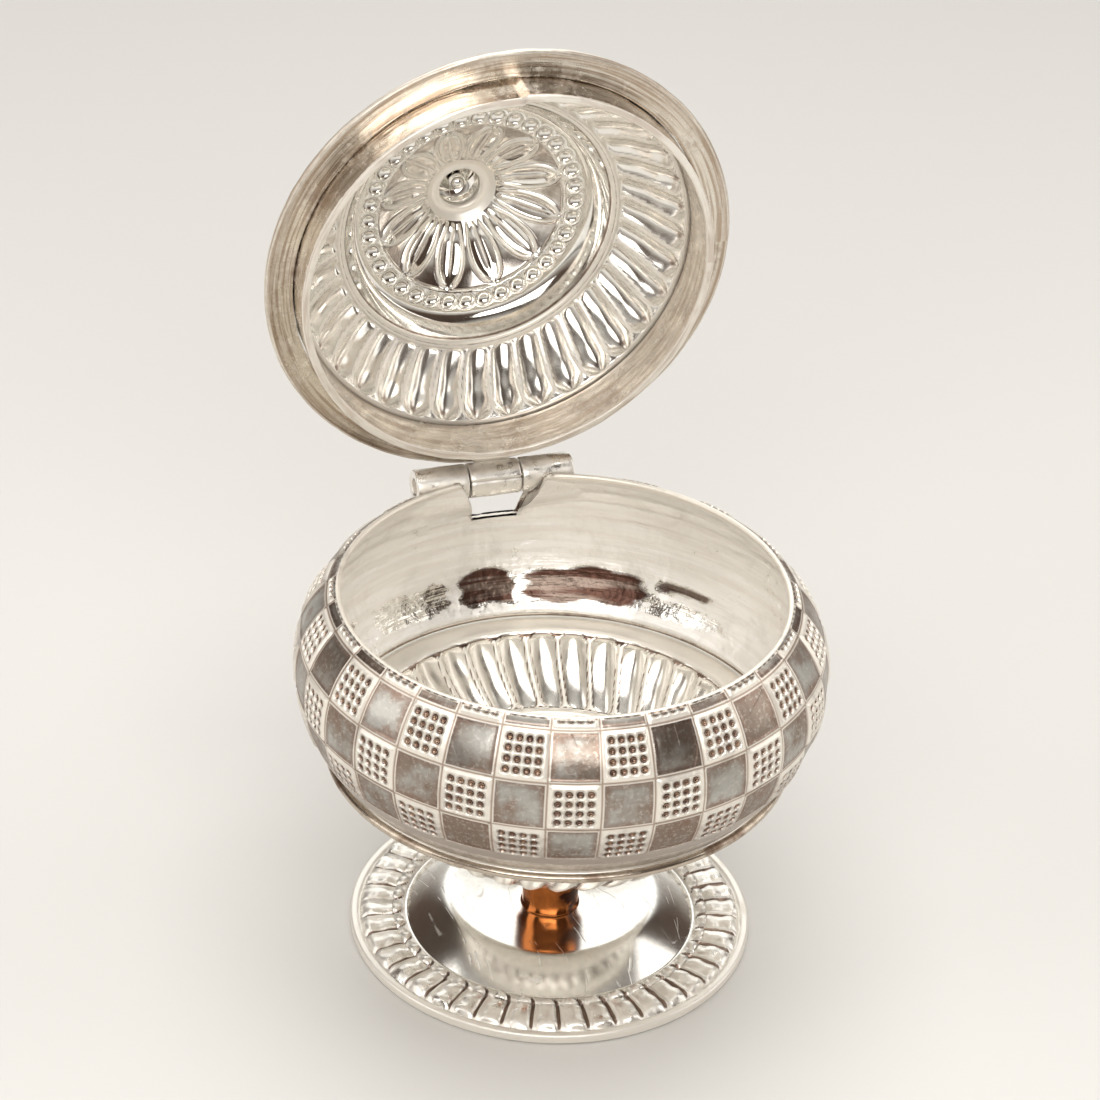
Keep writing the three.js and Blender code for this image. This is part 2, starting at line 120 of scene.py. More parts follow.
# Hinge
TUBE_R, PIN_R, PIN_FIT = 1.65, 0.75, 0.08
MIDDLE_KNUCKLE, SIDE_KNUCKLE, KNUCKLE_GAP = 4.9, 5.0, 0.15
SIDE_X = (MIDDLE_KNUCKLE + SIDE_KNUCKLE) / 2 + KNUCKLE_GAP
HINGE_LENGTH = MIDDLE_KNUCKLE + 2 * (KNUCKLE_GAP + SIDE_KNUCKLE)
TUBE_CUTS = 14
SEAM_TURN = -118  # where the tubes' rolling seam lies, in degrees
LEAF_WIDTH, LEAF_LOW, LEAF_HIGH = 3.5, 35.55, 36.5
NOTCH_HALF, NOTCH_SHOULDER, NOTCH_DEPTH = 2.2, 2.9, 6.1
NOTCH_X, NOTCH_ABOVE = 0.5, 0.25


# Modelling helpers

def alone(piece):
    """Makes one piece the selected and the active one."""
    bpy.ops.object.select_all(action="DESELECT")
    piece.select_set(True)
    bpy.context.view_layer.objects.active = piece


@contextmanager
def edited(piece):
    """Edit mode on one piece, with its whole mesh selected."""
    alone(piece)
    bpy.ops.object.mode_set(mode="EDIT")
    bpy.ops.mesh.select_all(action="SELECT")
    yield
    bpy.ops.object.mode_set(mode="OBJECT")


def modified(piece, kind, **values):
    """Adds a modifier with its values and applies it."""
    alone(piece)
    bpy.ops.object.modifier_add(type=kind)
    modifier = piece.modifiers[-1]
    for name, value in values.items():
        setattr(modifier, name, value)
    bpy.ops.object.modifier_apply(modifier=modifier.name)


def added(primitive, name, **values):
    """A new piece from a primitive operator."""
    bpy.ops.object.select_all(action="DESELECT")
    primitive(**values)
    piece = bpy.context.object
    piece.name = piece.data.name = name
    return piece


def lerp(a, b, t):
    return a + (b - a) * t


def smooth(low, high, value):
    """0 below low, 1 above high, and a soft step between. Works on numbers and on arrays."""
    t = np.clip((value - low) / (high - low), 0, 1)
    return t * t * (3 - 2 * t)


def ridge(value, middle, width):
    """1 at the middle, falling off softly on both sides over the width."""
    return np.exp(-((value - middle) / width) ** 2)


def path(*points, step=0.2):
    """Points along straight legs between the given ones, no further apart than step."""
    made = [points[0]]
    for before, after in zip(points, points[1:]):
        count = max(1, math.ceil(math.dist(before, after) / step))
        made += [tuple(lerp(a, b, i / count) for a, b in zip(before, after)) for i in range(1, count + 1)]
    return made


def arc(centre, radius, start, end, steps):
    """Points on an arc about a centre, from one angle to another in degrees."""
    angles = [math.radians(lerp(start, end, i / steps)) for i in range(steps + 1)]
    return [(centre[0] + radius * math.cos(a), centre[1] + radius * math.sin(a)) for a in angles]


def band(outer, inner, bow, steps):
    """Outline of a gadroon band, bowed up, from its outer to its inner ends."""
    points = []
    for i in range(steps + 1):
        t = i / steps
        rise = t + bow * math.sin(math.pi * t)
        points.append((lerp(outer[0], inner[0], t), lerp(outer[1], inner[1], rise)))
    return points


def drawn(name, outline):
    """A piece whose mesh is the closed outline, extruded from one vertex, with its origin on the axis."""
    piece = added(bpy.ops.mesh.primitive_plane_add, name, size=MM, location=(0, AXIS_Y * MM, 0))
    points = [Vector((r, 0, z)) * MM for r, z in outline]
    with edited(piece):
        bpy.ops.mesh.select_mode(type="VERT")
        bpy.ops.mesh.select_all(action="SELECT")
        bpy.ops.mesh.merge(type="CENTER")
        bpy.ops.transform.translate(value=points[0])
        for before, after in zip(points, points[1:] + points[:1]):
            bpy.ops.mesh.extrude_region_move(TRANSFORM_OT_translate={"value": after - before})
        bpy.ops.mesh.select_all(action="SELECT")
        bpy.ops.mesh.remove_doubles(threshold=MERGE)
    return piece


def turned(name, outline, columns=COLUMNS):
    """A turned piece: the outline swept once round the upright axis, merged and facing out."""
    piece = drawn(name, outline)
    modified(piece, "SCREW", steps=columns, render_steps=columns, use_merge_vertices=True,
             merge_threshold=MERGE)
    bpy.ops.object.transform_apply(location=True, rotation=False, scale=False)
    tidied(piece)
    return piece


def tidied(piece, sharp=None):
    """Merges doubles, points the faces out and shades them smooth."""
    with edited(piece):
        bpy.ops.mesh.remove_doubles(threshold=MERGE)
        bpy.ops.mesh.normals_make_consistent(inside=False)
    if sharp is None:
        bpy.ops.object.shade_smooth()
    else:
        bpy.ops.object.shade_smooth_by_angle(angle=math.radians(sharp))


def places(piece):
    """Where the vertices are, in mm from the axis: across, back and up."""
    where = np.empty(len(piece.data.vertices) * 3)
    piece.data.vertices.foreach_get("co", where)
    x, y, z = where.reshape(-1, 3).T / MM
    return x, y - AXIS_Y, z


def laid(piece, outline, chunk=4096):
    """For each vertex: the number of its outline point, its turn round the axis in degrees and its radius."""
    x, y, z = places(piece)
    radius = np.hypot(x, y)
    turn = np.degrees(np.arctan2(y, x)) % 360
    here = np.stack([radius, z], 1)
    marks = np.array(outline)
    row = np.empty(len(here), int)
    for i in range(0, len(here), chunk):
        row[i:i + chunk] = ((here[i:i + chunk, None] - marks[None]) ** 2).sum(2).argmin(1)
    return row, turn, radius


def along_outline(points):
    """Each outline point's distance from the first, along the outline."""
    return np.cumsum([0] + [math.dist(a, b) for a, b in zip(points, points[1:])])


def weighted(piece, name, shares, least):
    """A vertex group of the shares above the least one."""
    group = piece.vertex_groups.new(name=name)
    for index in np.nonzero(shares > least)[0].tolist():
        group.add((index,), float(min(shares[index], 1)), "REPLACE")
    return group.name


def pressed(piece, heights, direction="NORMAL"):
    """Pushes the surface by heights in mm, outwards or along one axis, with Displace modifiers."""
    for sign in (1, -1):
        rise = np.maximum(sign * heights, 0)
        most = float(rise.max())
        if most < 0.001:
            continue
        group = weighted(piece, "relief", rise / most, 0.0001)
        modified(piece, "DISPLACE", direction=direction, mid_level=0, strength=sign * most * MM,
                 vertex_group=group)
        piece.vertex_groups.remove(piece.vertex_groups[group])


def crinkled(piece, amount, size, shares=None):
    """Hand-worked unevenness: a cloud texture pushed along the normal, all over or by shares."""
    if shares is None:
        shares = np.ones(len(piece.data.vertices))
    group = weighted(piece, "crinkle", shares, 0.001)
    clouds = bpy.data.textures.new("crinkle", "CLOUDS")
    clouds.noise_scale = size * MM
    clouds.noise_depth = 2
    modified(piece, "DISPLACE", texture=clouds, texture_coords="LOCAL", mid_level=0.5, strength=amount * MM,
             vertex_group=group)
    piece.vertex_groups.remove(piece.vertex_groups[group])


def noted(piece, **marks):
    """Keeps numbers for each vertex under their names, which the finishes read."""
    for name, values in marks.items():
        layer = piece.data.attributes.new(name, "FLOAT", "POINT")
        layer.data.foreach_set("value", values.astype(np.float32))


def face_corners(piece):
    """The vertex of each face corner, and the first corner of each face."""
    corners = np.empty(len(piece.data.loops), int)
    piece.data.loops.foreach_get("vertex_index", corners)
    begins = np.empty(len(piece.data.polygons), int)
    piece.data.polygons.foreach_get("loop_start", begins)
    return corners, begins


def unrolled(piece, turn, along, unit_deg, start=0):
    """UV map of a turned skin: steps of unit_deg round the axis, and the given steps along the outline."""
    corners, begins = face_corners(piece)
    across = ((turn[corners] - start) % 360) / unit_deg
    sizes = np.diff(np.append(begins, len(corners)))
    face = np.repeat(np.arange(len(begins)), sizes)
    widest = np.maximum.reduceat(across, begins)[face]
    across = np.where(widest - across > 180 / unit_deg, across + 360 / unit_deg, across)
    layer = piece.data.uv_layers.new(name="round")
    layer.data.foreach_set("uv", np.stack([across, along[corners]], 1).ravel().astype(np.float32))


def opened(piece):
    """Turns a lid piece from shut to its open place, about the hinge."""
    hinge = Vector((0, AXIS_Y + HINGE_Y, HINGE_Z)) * MM
    with edited(piece):
        bpy.ops.transform.rotate(value=OPEN_ANGLE, orient_axis="X", center_override=hinge)


def finished(piece, body, node, slot, *finishes):
    """Gives a piece its finishes and its body, and hides the node that it stands for."""
    piece.data.materials.clear()
    for finish in finishes:
        piece.data.materials.append(finish)
    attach(piece, body)
    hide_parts(node)


def jitter(index, seed):
    """A fixed unevenness between -1 and 1 for each numbered gadroon, rib or bead."""
    return np.sin(index * 12.9898 + seed * 78.233) * np.cos(index * 4.1414 + seed)


def centred(turn, start, pitch, lean=0.0):
    """Number of the nearest copy and the degrees from its middle, for copies a pitch apart from start."""
    steps = (turn - start - lean) / pitch
    number = np.round(steps)
    return number, (steps - number) * pitch


# Shader helpers

class Tree:
    """Adds and links the nodes of one material, world or group."""

    def __init__(self, tree):
        self.tree = tree

    def node(self, kind, **values):
        made = self.tree.nodes.new(kind)
        for name, value in values.items():
            setattr(made, name, value)
        return made

    def link(self, source, target):
        self.tree.links.new(source, target)

    def feed(self, socket, value):
        if isinstance(value, bpy.types.NodeSocket):
            self.link(value, socket)
        elif value is not None:
            socket.default_value = value

    def place(self):
        return self.node("ShaderNodeTexCoord").outputs["Object"]

    def round_map(self):
        return self.node("ShaderNodeUVMap", uv_map="round").outputs["UV"]

    def math(self, operation, a, b=None, c=None, clamp=False):
        made = self.node("ShaderNodeMath", operation=operation, use_clamp=clamp)
        for socket, value in zip(made.inputs, (a, b, c)):
            self.feed(socket, value)
        return made.outputs[0]

    def times(self, first, *others):
        for other in others:
            first = self.math("MULTIPLY", first, other)
        return first

    def plus(self, a, b, clamp=False):
        return self.math("ADD", a, b, clamp=clamp)

    def minus(self, a, b):
        return self.math("SUBTRACT", a, b)

    def ramp(self, value, low, high, to_low=0.0, to_high=1.0):
        made = self.node("ShaderNodeMapRange", interpolation_type="SMOOTHSTEP")
        for socket, number in zip(made.inputs, (value, low, high, to_low, to_high)):
            self.feed(socket, number)
        return made.outputs[0]

    def mix(self, share, a, b, blend="MIX"):
        made = self.node("ShaderNodeMix", data_type="RGBA", blend_type=blend)
        for socket, value in zip((made.inputs[0], made.inputs[6], made.inputs[7]), (share, a, b)):
            self.feed(socket, value)
        return made.outputs[2]

    def noise(self, place, scale, detail=2.0, roughness=0.5, distortion=0.0):
        made = self.node("ShaderNodeTexNoise")
        given = {"Vector": place, "Scale": scale, "Detail": detail, "Roughness": roughness,
                 "Distortion": distortion}
        for label, value in given.items():
            self.feed(made.inputs[label], value)
        return made.outputs["Fac"]

    def mapped(self, place, scale=(1, 1, 1), turn=(0, 0, 0), shift=(0, 0, 0)):
        made = self.node("ShaderNodeMapping")
        for label, value in {"Vector": place, "Location": shift, "Rotation": turn, "Scale": scale}.items():
            self.feed(made.inputs[label], value)
        return made.outputs["Vector"]


FLOAT, COLOUR = "NodeSocketFloat", "NodeSocketColor"
BRIGHT = (0.96, 0.94, 0.89, 1)
BROWN = (0.15, 0.075, 0.04, 1)


def new_group(name, inputs, outputs):
    """An empty shader node group: inputs are (name, kind, value) and outputs are (name, kind)."""
    group = bpy.data.node_groups.new(name, "ShaderNodeTree")
    for label, kind, value in inputs:
        group.interface.new_socket(label, in_out="INPUT", socket_type=kind).default_value = value
    for label, kind in outputs:
        group.interface.new_socket(label, in_out="OUTPUT", socket_type=kind)
    tree = Tree(group)
    return group, tree, tree.node("NodeGroupInput").outputs, tree.node("NodeGroupOutput").inputs


def scratch_group():
    """Hairline scratches: thin contour lines of stretched noises, as a height in mm."""
    group, tree, given, out = new_group(
        "scratches", [("Amount", FLOAT, 0.003)], [("Height", FLOAT), ("Mask", FLOAT)])
    place = tree.place()
    lines = None
    for turn, scale in (((0.3, 0.2, 0.5), 190), ((1.1, 0.7, 2.1), 260), ((0.5, 1.9, 1.3), 150)):
        field = tree.noise(tree.mapped(place, scale=(1, 0.12, 0.35), turn=turn), scale, detail=0.0)
        thin = tree.ramp(tree.math("ABSOLUTE", tree.minus(field, 0.5)), 0.0, 0.006, 1.0, 0.0)
        broken = tree.ramp(tree.noise(tree.mapped(place, turn=turn), 420, detail=1.0), 0.5, 0.6)
        line = tree.times(thin, broken)
        lines = line if lines is None else tree.math("MAXIMUM", lines, line)
    tree.link(lines, out["Mask"])
    tree.link(tree.times(lines, given["Amount"], -1.0), out["Height"])
    return group


def wear_group():
    """Silver: mirror bright or frosted white, brown in its hollows and in patches. The brown that the mesh
    marks as hollow is patina, and in places a painted shade. Height is in mm.
    """
    group, tree, given, out = new_group(
        "worn silver",
        [("Bright", COLOUR, BRIGHT), ("Dark", COLOUR, BROWN), ("Chalk", COLOUR, (0.93, 0.89, 0.82, 1)),
         ("Frost", FLOAT, 0.0), ("Ragged", FLOAT, 0.7), ("Hollow", FLOAT, 0.0), ("Grime", FLOAT, 0.6),
         ("Patches", FLOAT, 0.2), ("Gloss", FLOAT, 0.12), ("Dull", FLOAT, 0.4), ("Grain", FLOAT, 0.004),
         ("Grain Scale", FLOAT, 4000.0), ("Dent", FLOAT, 0.02), ("Dent Scale", FLOAT, 350.0)],
        [("Color", COLOUR), ("Roughness", FLOAT), ("Metallic", FLOAT), ("Height", FLOAT)])
    place = tree.place()
    cloud = tree.noise(place, 230, detail=4.0, roughness=0.6, distortion=0.4)
    fine = tree.noise(place, 1500, detail=3.0, roughness=0.65)
    patches = tree.times(tree.ramp(cloud, 0.5, 0.68), given["Patches"])
    ragged = tree.plus(given["Hollow"], tree.times(tree.minus(fine, 0.5), 0.5))
    # Brown tone: patina in the hollows, and a painted shade where the mesh marks more than its hollows.
    hollow = tree.times(tree.ramp(ragged, 0.45, 1.0), given["Grime"])
    tone = tree.math("MAXIMUM", hollow, patches, clamp=True)
    bright = tree.mix(1.0, given["Bright"], tree.ramp(fine, 0.35, 0.75, 0.9, 1.0), blend="MULTIPLY")
    uneven = tree.times(tree.minus(tree.plus(fine, cloud), 1.0), given["Ragged"])
    frost = tree.times(tree.ramp(tree.plus(given["Frost"], uneven), 0.3, 0.7), tree.minus(1.0, tone))
    tree.link(tree.mix(frost, tree.mix(tone, bright, given["Dark"]), given["Chalk"]), out["Color"])
    tree.link(tree.math("MULTIPLY_ADD", frost, -0.35, 1.0), out["Metallic"])
    mottle = tree.times(tree.ramp(cloud, 0.35, 0.7), 0.45)
    even = tree.math("MULTIPLY_ADD", tree.minus(given["Dull"], given["Gloss"]), mottle, given["Gloss"])
    rough = tree.math("MULTIPLY_ADD", tone, 0.15, even, clamp=True)
    matte = tree.times(tree.minus(0.42, rough), frost)
    tree.link(tree.plus(rough, matte), out["Roughness"])
    grain = tree.times(tree.noise(place, given["Grain Scale"], detail=3.0), given["Grain"])
    dent = tree.times(tree.noise(place, given["Dent Scale"]), given["Dent"])
    tree.link(tree.plus(grain, dent), out["Height"])
    return group


SCRATCHES = scratch_group()
WEAR = wear_group()


def silver(name, rough, grain, dent, scratches=0.0, extra=None, **values):
    """A silver finish on the worn silver group.

    rough holds the roughness of its bright and of its dull parts. grain and dent hold a height in mm and a
    scale. Hollow and Frost are read from the mesh unless they are given. extra may add to the finish.
    """
    made = bpy.data.materials.new(name)
    made.use_nodes = True
    tree = Tree(made.node_tree)
    shader = made.node_tree.nodes["Principled BSDF"]
    wear = tree.node("ShaderNodeGroup", node_tree=WEAR)
    labels = ("Gloss", "Dull", "Grain", "Grain Scale", "Dent", "Dent Scale")
    for label, value in (*zip(labels, (*rough, *grain, *dent)), *values.items()):
        wear.inputs[label].default_value = value
    for label in ("Hollow", "Frost"):
        if label not in values:
            read = tree.node("ShaderNodeAttribute", attribute_name=label.lower())
            tree.link(read.outputs["Fac"], wear.inputs[label])
    colour, rough, height = wear.outputs["Color"], wear.outputs["Roughness"], wear.outputs["Height"]
    if scratches:
        hairs = tree.node("ShaderNodeGroup", node_tree=SCRATCHES)
        hairs.inputs["Amount"].default_value = scratches
        height = tree.plus(height, hairs.outputs["Height"])
        rough = tree.math("MULTIPLY_ADD", hairs.outputs["Mask"], 0.25, rough, clamp=True)
    if extra:
        colour, rough, height = extra(tree, wear, colour, rough, height)
    bump = tree.node("ShaderNodeBump")
    bump.inputs["Distance"].default_value = MM
    tree.link(height, bump.inputs["Height"])
    tree.link(colour, shader.inputs["Base Color"])
    tree.link(rough, shader.inputs["Roughness"])
    tree.link(wear.outputs["Metallic"], shader.inputs["Metallic"])
    tree.link(bump.outputs["Normal"], shader.inputs["Normal"])
    return made


def lathe_marks(depth, pitch, tone, share):
    """Fine lines round the axis, as heights in mm and as streaks of a darker tone, from the UV map."""
    def extra(tree, wear, colour, rough, height):
        uv = tree.round_map()
        fine = tree.noise(tree.mapped(uv, scale=(0.5, 1.0 / pitch, 1)), 1.0, detail=2.0, roughness=0.7)
        stretched = tree.mapped(uv, scale=(0.35, 0.45 / pitch, 1), shift=(7, 3, 0))
        broad = tree.noise(stretched, 1.0, detail=3.0, roughness=0.6)
        colour = tree.mix(tree.times(tree.ramp(broad, 0.44, 0.6), share), colour, tone)
        return colour, rough, tree.plus(height, tree.times(fine, depth))
    return extra


def checker_marks(tree, wear, colour, rough, height):
    """Crisp pits of the dotted cells and the darker, smoother plates of the plain ones."""
    split = tree.node("ShaderNodeSeparateXYZ")
    tree.link(tree.round_map(), split.inputs[0])
    cell, row = split.outputs["X"], split.outputs["Y"]
    parity = tree.math("MODULO", tree.plus(tree.math("FLOOR", cell), tree.math("FLOOR", row)), 2.0)
    dotted = tree.math("LESS_THAN", parity, 0.5)
    borders, squares = [], []
    for share in (tree.math("FRACT", cell), tree.math("FRACT", row)):
        inner = tree.times(tree.minus(share, DOT_BORDER), DOTS / (1 - 2 * DOT_BORDER))
        offset = tree.minus(tree.math("FRACT", inner), 0.5)
        squares.append(tree.times(offset, offset))
        borders.append(tree.math("MINIMUM", share, tree.minus(1.0, share)))
    border = tree.math("MINIMUM", *borders)
    apart = tree.math("SQRT", tree.plus(*squares))
    inside = tree.ramp(border, 0.09, 0.11)
    embossed = tree.times(tree.ramp(row, 4.96, 5.0, 1.0, 0.0), tree.ramp(row, 0.05, 0.1))
    pit = tree.times(tree.ramp(apart, 0.2, 0.42, 1.0, 0.0), inside, dotted, embossed)
    around = tree.times(tree.ramp(apart, 0.25, 0.62, 0.16, 0.0), inside, dotted, embossed)
    plate = tree.times(tree.minus(1.0, dotted), tree.ramp(border, 0.03, 0.06), embossed)
    tree.link(tree.minus(tree.minus(0.85, plate), tree.times(pit, 0.8)), wear.inputs["Frost"])
    place = tree.place()
    speck = tree.noise(place, 2600, detail=2.0, roughness=0.7)
    tint = tree.ramp(tree.noise(place, 160, detail=4.0, roughness=0.65), 0.4, 0.6)
    # The plain plates' dark grey-brown: tarnish of random tone with blots and specks, and in part a painted
    # dark reflection on these mirror plates.
    plate_tarnish_and_reflection = tree.mix(tint, (0.42, 0.41, 0.38, 1), (0.22, 0.16, 0.12, 1))
    blots = tree.ramp(tree.noise(place, 420, detail=4.0), 0.52, 0.68, 0.0, 0.7)
    plate_tarnish_and_reflection = tree.mix(blots, plate_tarnish_and_reflection, (0.2, 0.1, 0.06, 1))
    edge = tree.times(tree.ramp(border, 0.05, 0.2, 1.0, 0.0), 0.7)
    plate_tarnish_and_reflection = tree.mix(edge, plate_tarnish_and_reflection, (0.2, 0.11, 0.07, 1))
    plate_tarnish_and_reflection = tree.mix(tree.ramp(speck, 0.5, 0.7, 0.0, 0.35), plate_tarnish_and_reflection, (0.7, 0.67, 0.6, 1))
    rust = tree.ramp(tree.noise(place, 900, detail=3.0), 0.35, 0.7)
    pit_tone = tree.mix(rust, (0.1, 0.035, 0.015, 1), (0.26, 0.15, 0.09, 1))
    colour = tree.mix(tree.times(plate, 0.9), colour, plate_tarnish_and_reflection)
    colour = tree.mix(tree.times(pit, 0.92), colour, pit_tone)
    seams = tree.times(tree.ramp(border, 0.0, 0.035, 0.75, 0.0), embossed)
    colour = tree.mix(seams, colour, (0.25, 0.14, 0.08, 1))
    rough = tree.plus(rough, tree.times(plate, 0.1), clamp=True)
    height = tree.minus(tree.minus(height, tree.times(pit, 0.1)), around)
    return colour, rough, tree.plus(height, tree.times(speck, plate, 0.012))


polished = silver("polished silver", (0.04, 0.1), (0.0006, 3000.0), (0.01, 260.0), 0.003,
                  Grime=0.8, Patches=0.1)
pressed_silver = silver("pressed silver", (0.07, 0.18), (0.001, 2600.0), (0.012, 420.0),
                        Ragged=0.12, Grime=0.92, Patches=0.12)
burnished = silver("burnished silver", (0.15, 0.2), (0.002, 2600.0), (0.012, 200.0), 0.005,
                   Ragged=0.4, Grime=0.92, Patches=0.1)
tubing = silver("tube silver", (0.16, 0.34), (0.006, 2400.0), (0.04, 420.0), 0.003,
                Frost=0.55, Ragged=0.8, Grime=0.8, Patches=0.4)
frosted = silver("frosted silver", (0.2, 0.4), (0.008, 2400.0), (0.06, 600.0),
                 Frost=0.7, Grime=0.8, Patches=0.3)
checkered = silver("checkered silver", (0.2, 0.4), (0.012, 2500.0), (0.05, 500.0), 0.002, checker_marks,
                   Frost=0.0, Chalk=(0.9, 0.85, 0.77, 1), Ragged=0.5, Grime=0.75, Patches=0.45)
lining = silver("frosted lining", (0.12, 0.36), (0.07, 1700.0), (0.2, 260.0),
                extra=lathe_marks(0.05, 0.45, (0.66, 0.59, 0.5, 1), 0.2), Chalk=(0.99, 0.97, 0.93, 1),
                Dark=(0.06, 0.018, 0.008, 1), Ragged=1.0, Grime=0.97, Patches=0.25)
lathed = silver("turned silver", (0.2, 0.45), (0.008, 1800.0), (0.05, 300.0),
                extra=lathe_marks(0.02, 0.14, (0.3, 0.19, 0.11, 1), 0.6), Bright=(0.83, 0.77, 0.67, 1),
                Chalk=(0.88, 0.84, 0.76, 1), Dark=(0.24, 0.14, 0.08, 1), Ragged=1.2, Grime=0.7, Patches=0.5)
bezel_silver = silver("bezel silver", (0.12, 0.4), (0.006, 1800.0), (0.1, 260.0),
                      extra=lathe_marks(0.02, 0.3, (0.5, 0.38, 0.29, 1), 0.5), Bright=(0.9, 0.85, 0.78, 1),
                      Dark=(0.3, 0.18, 0.12, 1), Ragged=1.2, Grime=0.5, Patches=0.5)
# Painted warm reflection: the stem's amber stands in for a warm reflection on its mirror surface; its dark
# patches are laid at random.
amber = silver("amber painted reflection silver", (0.14, 0.35), (0.002, 2500.0), (0.12, 420.0), 0.002,
               Bright=(0.46, 0.15, 0.04, 1), Dark=(0.05, 0.02, 0.012, 1), Hollow=0.0, Frost=0.0, Patches=1.3)
sooty = silver("darkened silver", (0.2, 0.4), (0.006, 2500.0), (0.03, 500.0),
               Bright=(0.6, 0.52, 0.43, 1), Hollow=0.0, Frost=0.2, Patches=0.8)


# Relief, in mm. Each returns the heights, and 0 to 1 where the raised lines are.

def gadroon_relief(turn, radius, along, length, start, lines, even=False):
    """Pressed gadroons: hollows with a round outer end and a leaning tail, and raised lines between them.

    Those of the dish are of an even width and shallower. Heights are above the deepest part.
    """
    share = np.clip(along / length, 0, 1)
    number, off = centred(turn, start, GADROON_DEG, GADROON_LEAN * share ** 1.6)
    across = np.radians(off) * radius + 0.04 * jitter(number, 1.0)
    full = np.radians(GADROON_DEG) * radius * (GADROON_HALF + 0.012 * jitter(number, 2.0))
    begin, end = 0.9 if even else 1.35, 0.75
    begun = np.clip(along / begin, 0, 1)
    half = full * np.sqrt(1 - (1 - begun) ** (3 if even else 2))
    half = half * np.where(even | (along < begin), 1.0, lerp(1.0, 0.9, smooth(0, 1.5, along - begin)))
    left = np.clip((length - along) / end, 0, 1)
    half = np.where(along > length - end, half * np.sqrt(np.maximum(1 - (1 - left) ** 2, 0)), half)
    half = np.where((along < 0) | (along > length), 0, half)
    fill = np.clip(np.abs(across) / np.maximum(half, 0.02), 0, 1)
    depth = GADROON_DEPTH * lerp(0.62, 1.0, 1 - smooth(1.0, 3.2, along))
    depth = depth * lerp(1.0, 0.75, smooth(0.6, 1.0, share)) * (0.72 if even else 1.0)
    hollow = np.where(half > 0.02, depth * np.cos(fill * math.pi / 2) ** 1.2, 0)
    line = ridge(np.abs(across) - half, 0.03, 0.16)
    line = line * smooth(-0.1, 0.5, along) * smooth(0, 0.6, length - along + 0.3)
    return GADROON_DEPTH - hollow + lines * line, line


def bead_relief(turn, radius, lines):
    """A ring of round hollows with a raised edge."""
    number, off = centred(turn, BEAD_START, 360 / BEADS)
    across = np.radians(off) * radius
    apart = np.hypot(across, (radius - BEAD_R) * 1.05)
    size = BEAD_SIZE + 0.02 * jitter(number, 5.0)
    hollow = BEAD_DEPTH * np.sqrt(np.maximum(1 - (apart / size) ** 2, 0))
    line = ridge(apart - size, 0.04, 0.08)
    return -hollow + lines * 0.8 * line, line


def petal_relief(turn, radius, lines):
    """Twelve petals: a raised outline and middle rib round two long hollows, with sunk corners between."""
    off = centred(turn, PETAL_START, 360 / PETALS)[1]
    share = np.clip((radius - PETAL_BASE_R) / (PETAL_TIP_R - PETAL_BASE_R), 0, 1)
    across = np.radians(off) * radius
    widest = np.radians(PETAL_HALF_DEG) * radius
    half = widest * np.sqrt(np.maximum(1 - share ** 2.6, 0)) * lerp(0.82, 1.0, smooth(0.0, 0.35, share))
    inside = (half - np.abs(across)) * lerp(1.0, 0.6, share)
    within = smooth(0.0, 0.18, inside)
    outline = ridge(inside, 0.14, 0.13)
    rib = ridge(across, 0, 0.2) * (1 - smooth(0.6, 0.95, share))
    lobes = within * (1 - smooth(0.72, 0.98, share)) * smooth(0.05, 0.25, share)
    cup = 0.2 * lobes * np.clip(inside / 0.7, 0, 1)
    corner = 0.22 * (1 - within) * smooth(0.3, 0.8, share)
    reach = smooth(PETAL_BASE_R - 0.4, PETAL_BASE_R + 0.3, radius)
    reach = reach * (1 - smooth(PETAL_TIP_R, PETAL_TIP_R + 0.2, radius))
    line = np.maximum(outline, 0.8 * rib * within)
    return reach * (-cup - corner + lines * (1.1 * outline + 0.9 * rib * within)), reach * line


# Foot

def disc_height(radius):
    """Height of the foot's disc: up from the flutes, over a soft crest and down to the flat round the stem."""
    t = (DISC_R - radius) / (DISC_R - CREST_R)
    slope = DISC_Z + (CREST_Z - DISC_Z) * t * (1 + CREST_BOW * (1 - t))
    seat = STEM_R + STEM_SEAT
    well = lerp(WELL_Z, CREST_Z, max(0, (radius - seat) / (CREST_R - seat)))
    return -CREST_SOFT * math.log(math.exp(-slope / CREST_SOFT) + math.exp(-well / CREST_SOFT))


def foot_outline():
    """The disc from the stem outwards, the flutes' border, the edge, and back along the underside."""
    mid_r = 8.2
    radii = [lerp(STEM_BORE, mid_r, i / 14) for i in range(14)]
    radii += [lerp(mid_r, DISC_R, i / 32) for i in range(33)]
    disc = [(r, disc_height(r)) for r in radii]
    border = path((13.56, 1.14), (14.4, 1.16), step=0.2)
    recess = path((14.5, 0.95), (15.6, 1.05), (17.0, 0.98), (17.8, 0.62), step=0.16)
    edge = path((17.9, 0.88), (18.35, 0.9), step=0.25) + arc((18.38, 0.68), 0.22, 85, 0, 4)
    edge += arc((18.42, 0.18), 0.18, 0, -90, 4)
    under = path((18.0, 0.0), (17.55, 0.0), (17.3, 0.12), (16.9, 0.2), (15.2, 0.3), (14.4, 0.4), (13.6, 0.34),
                 step=0.25)
    back = [(r, z - SHEET) for r, z in reversed(disc[::2])]
    return disc + border + recess + edge + under + back


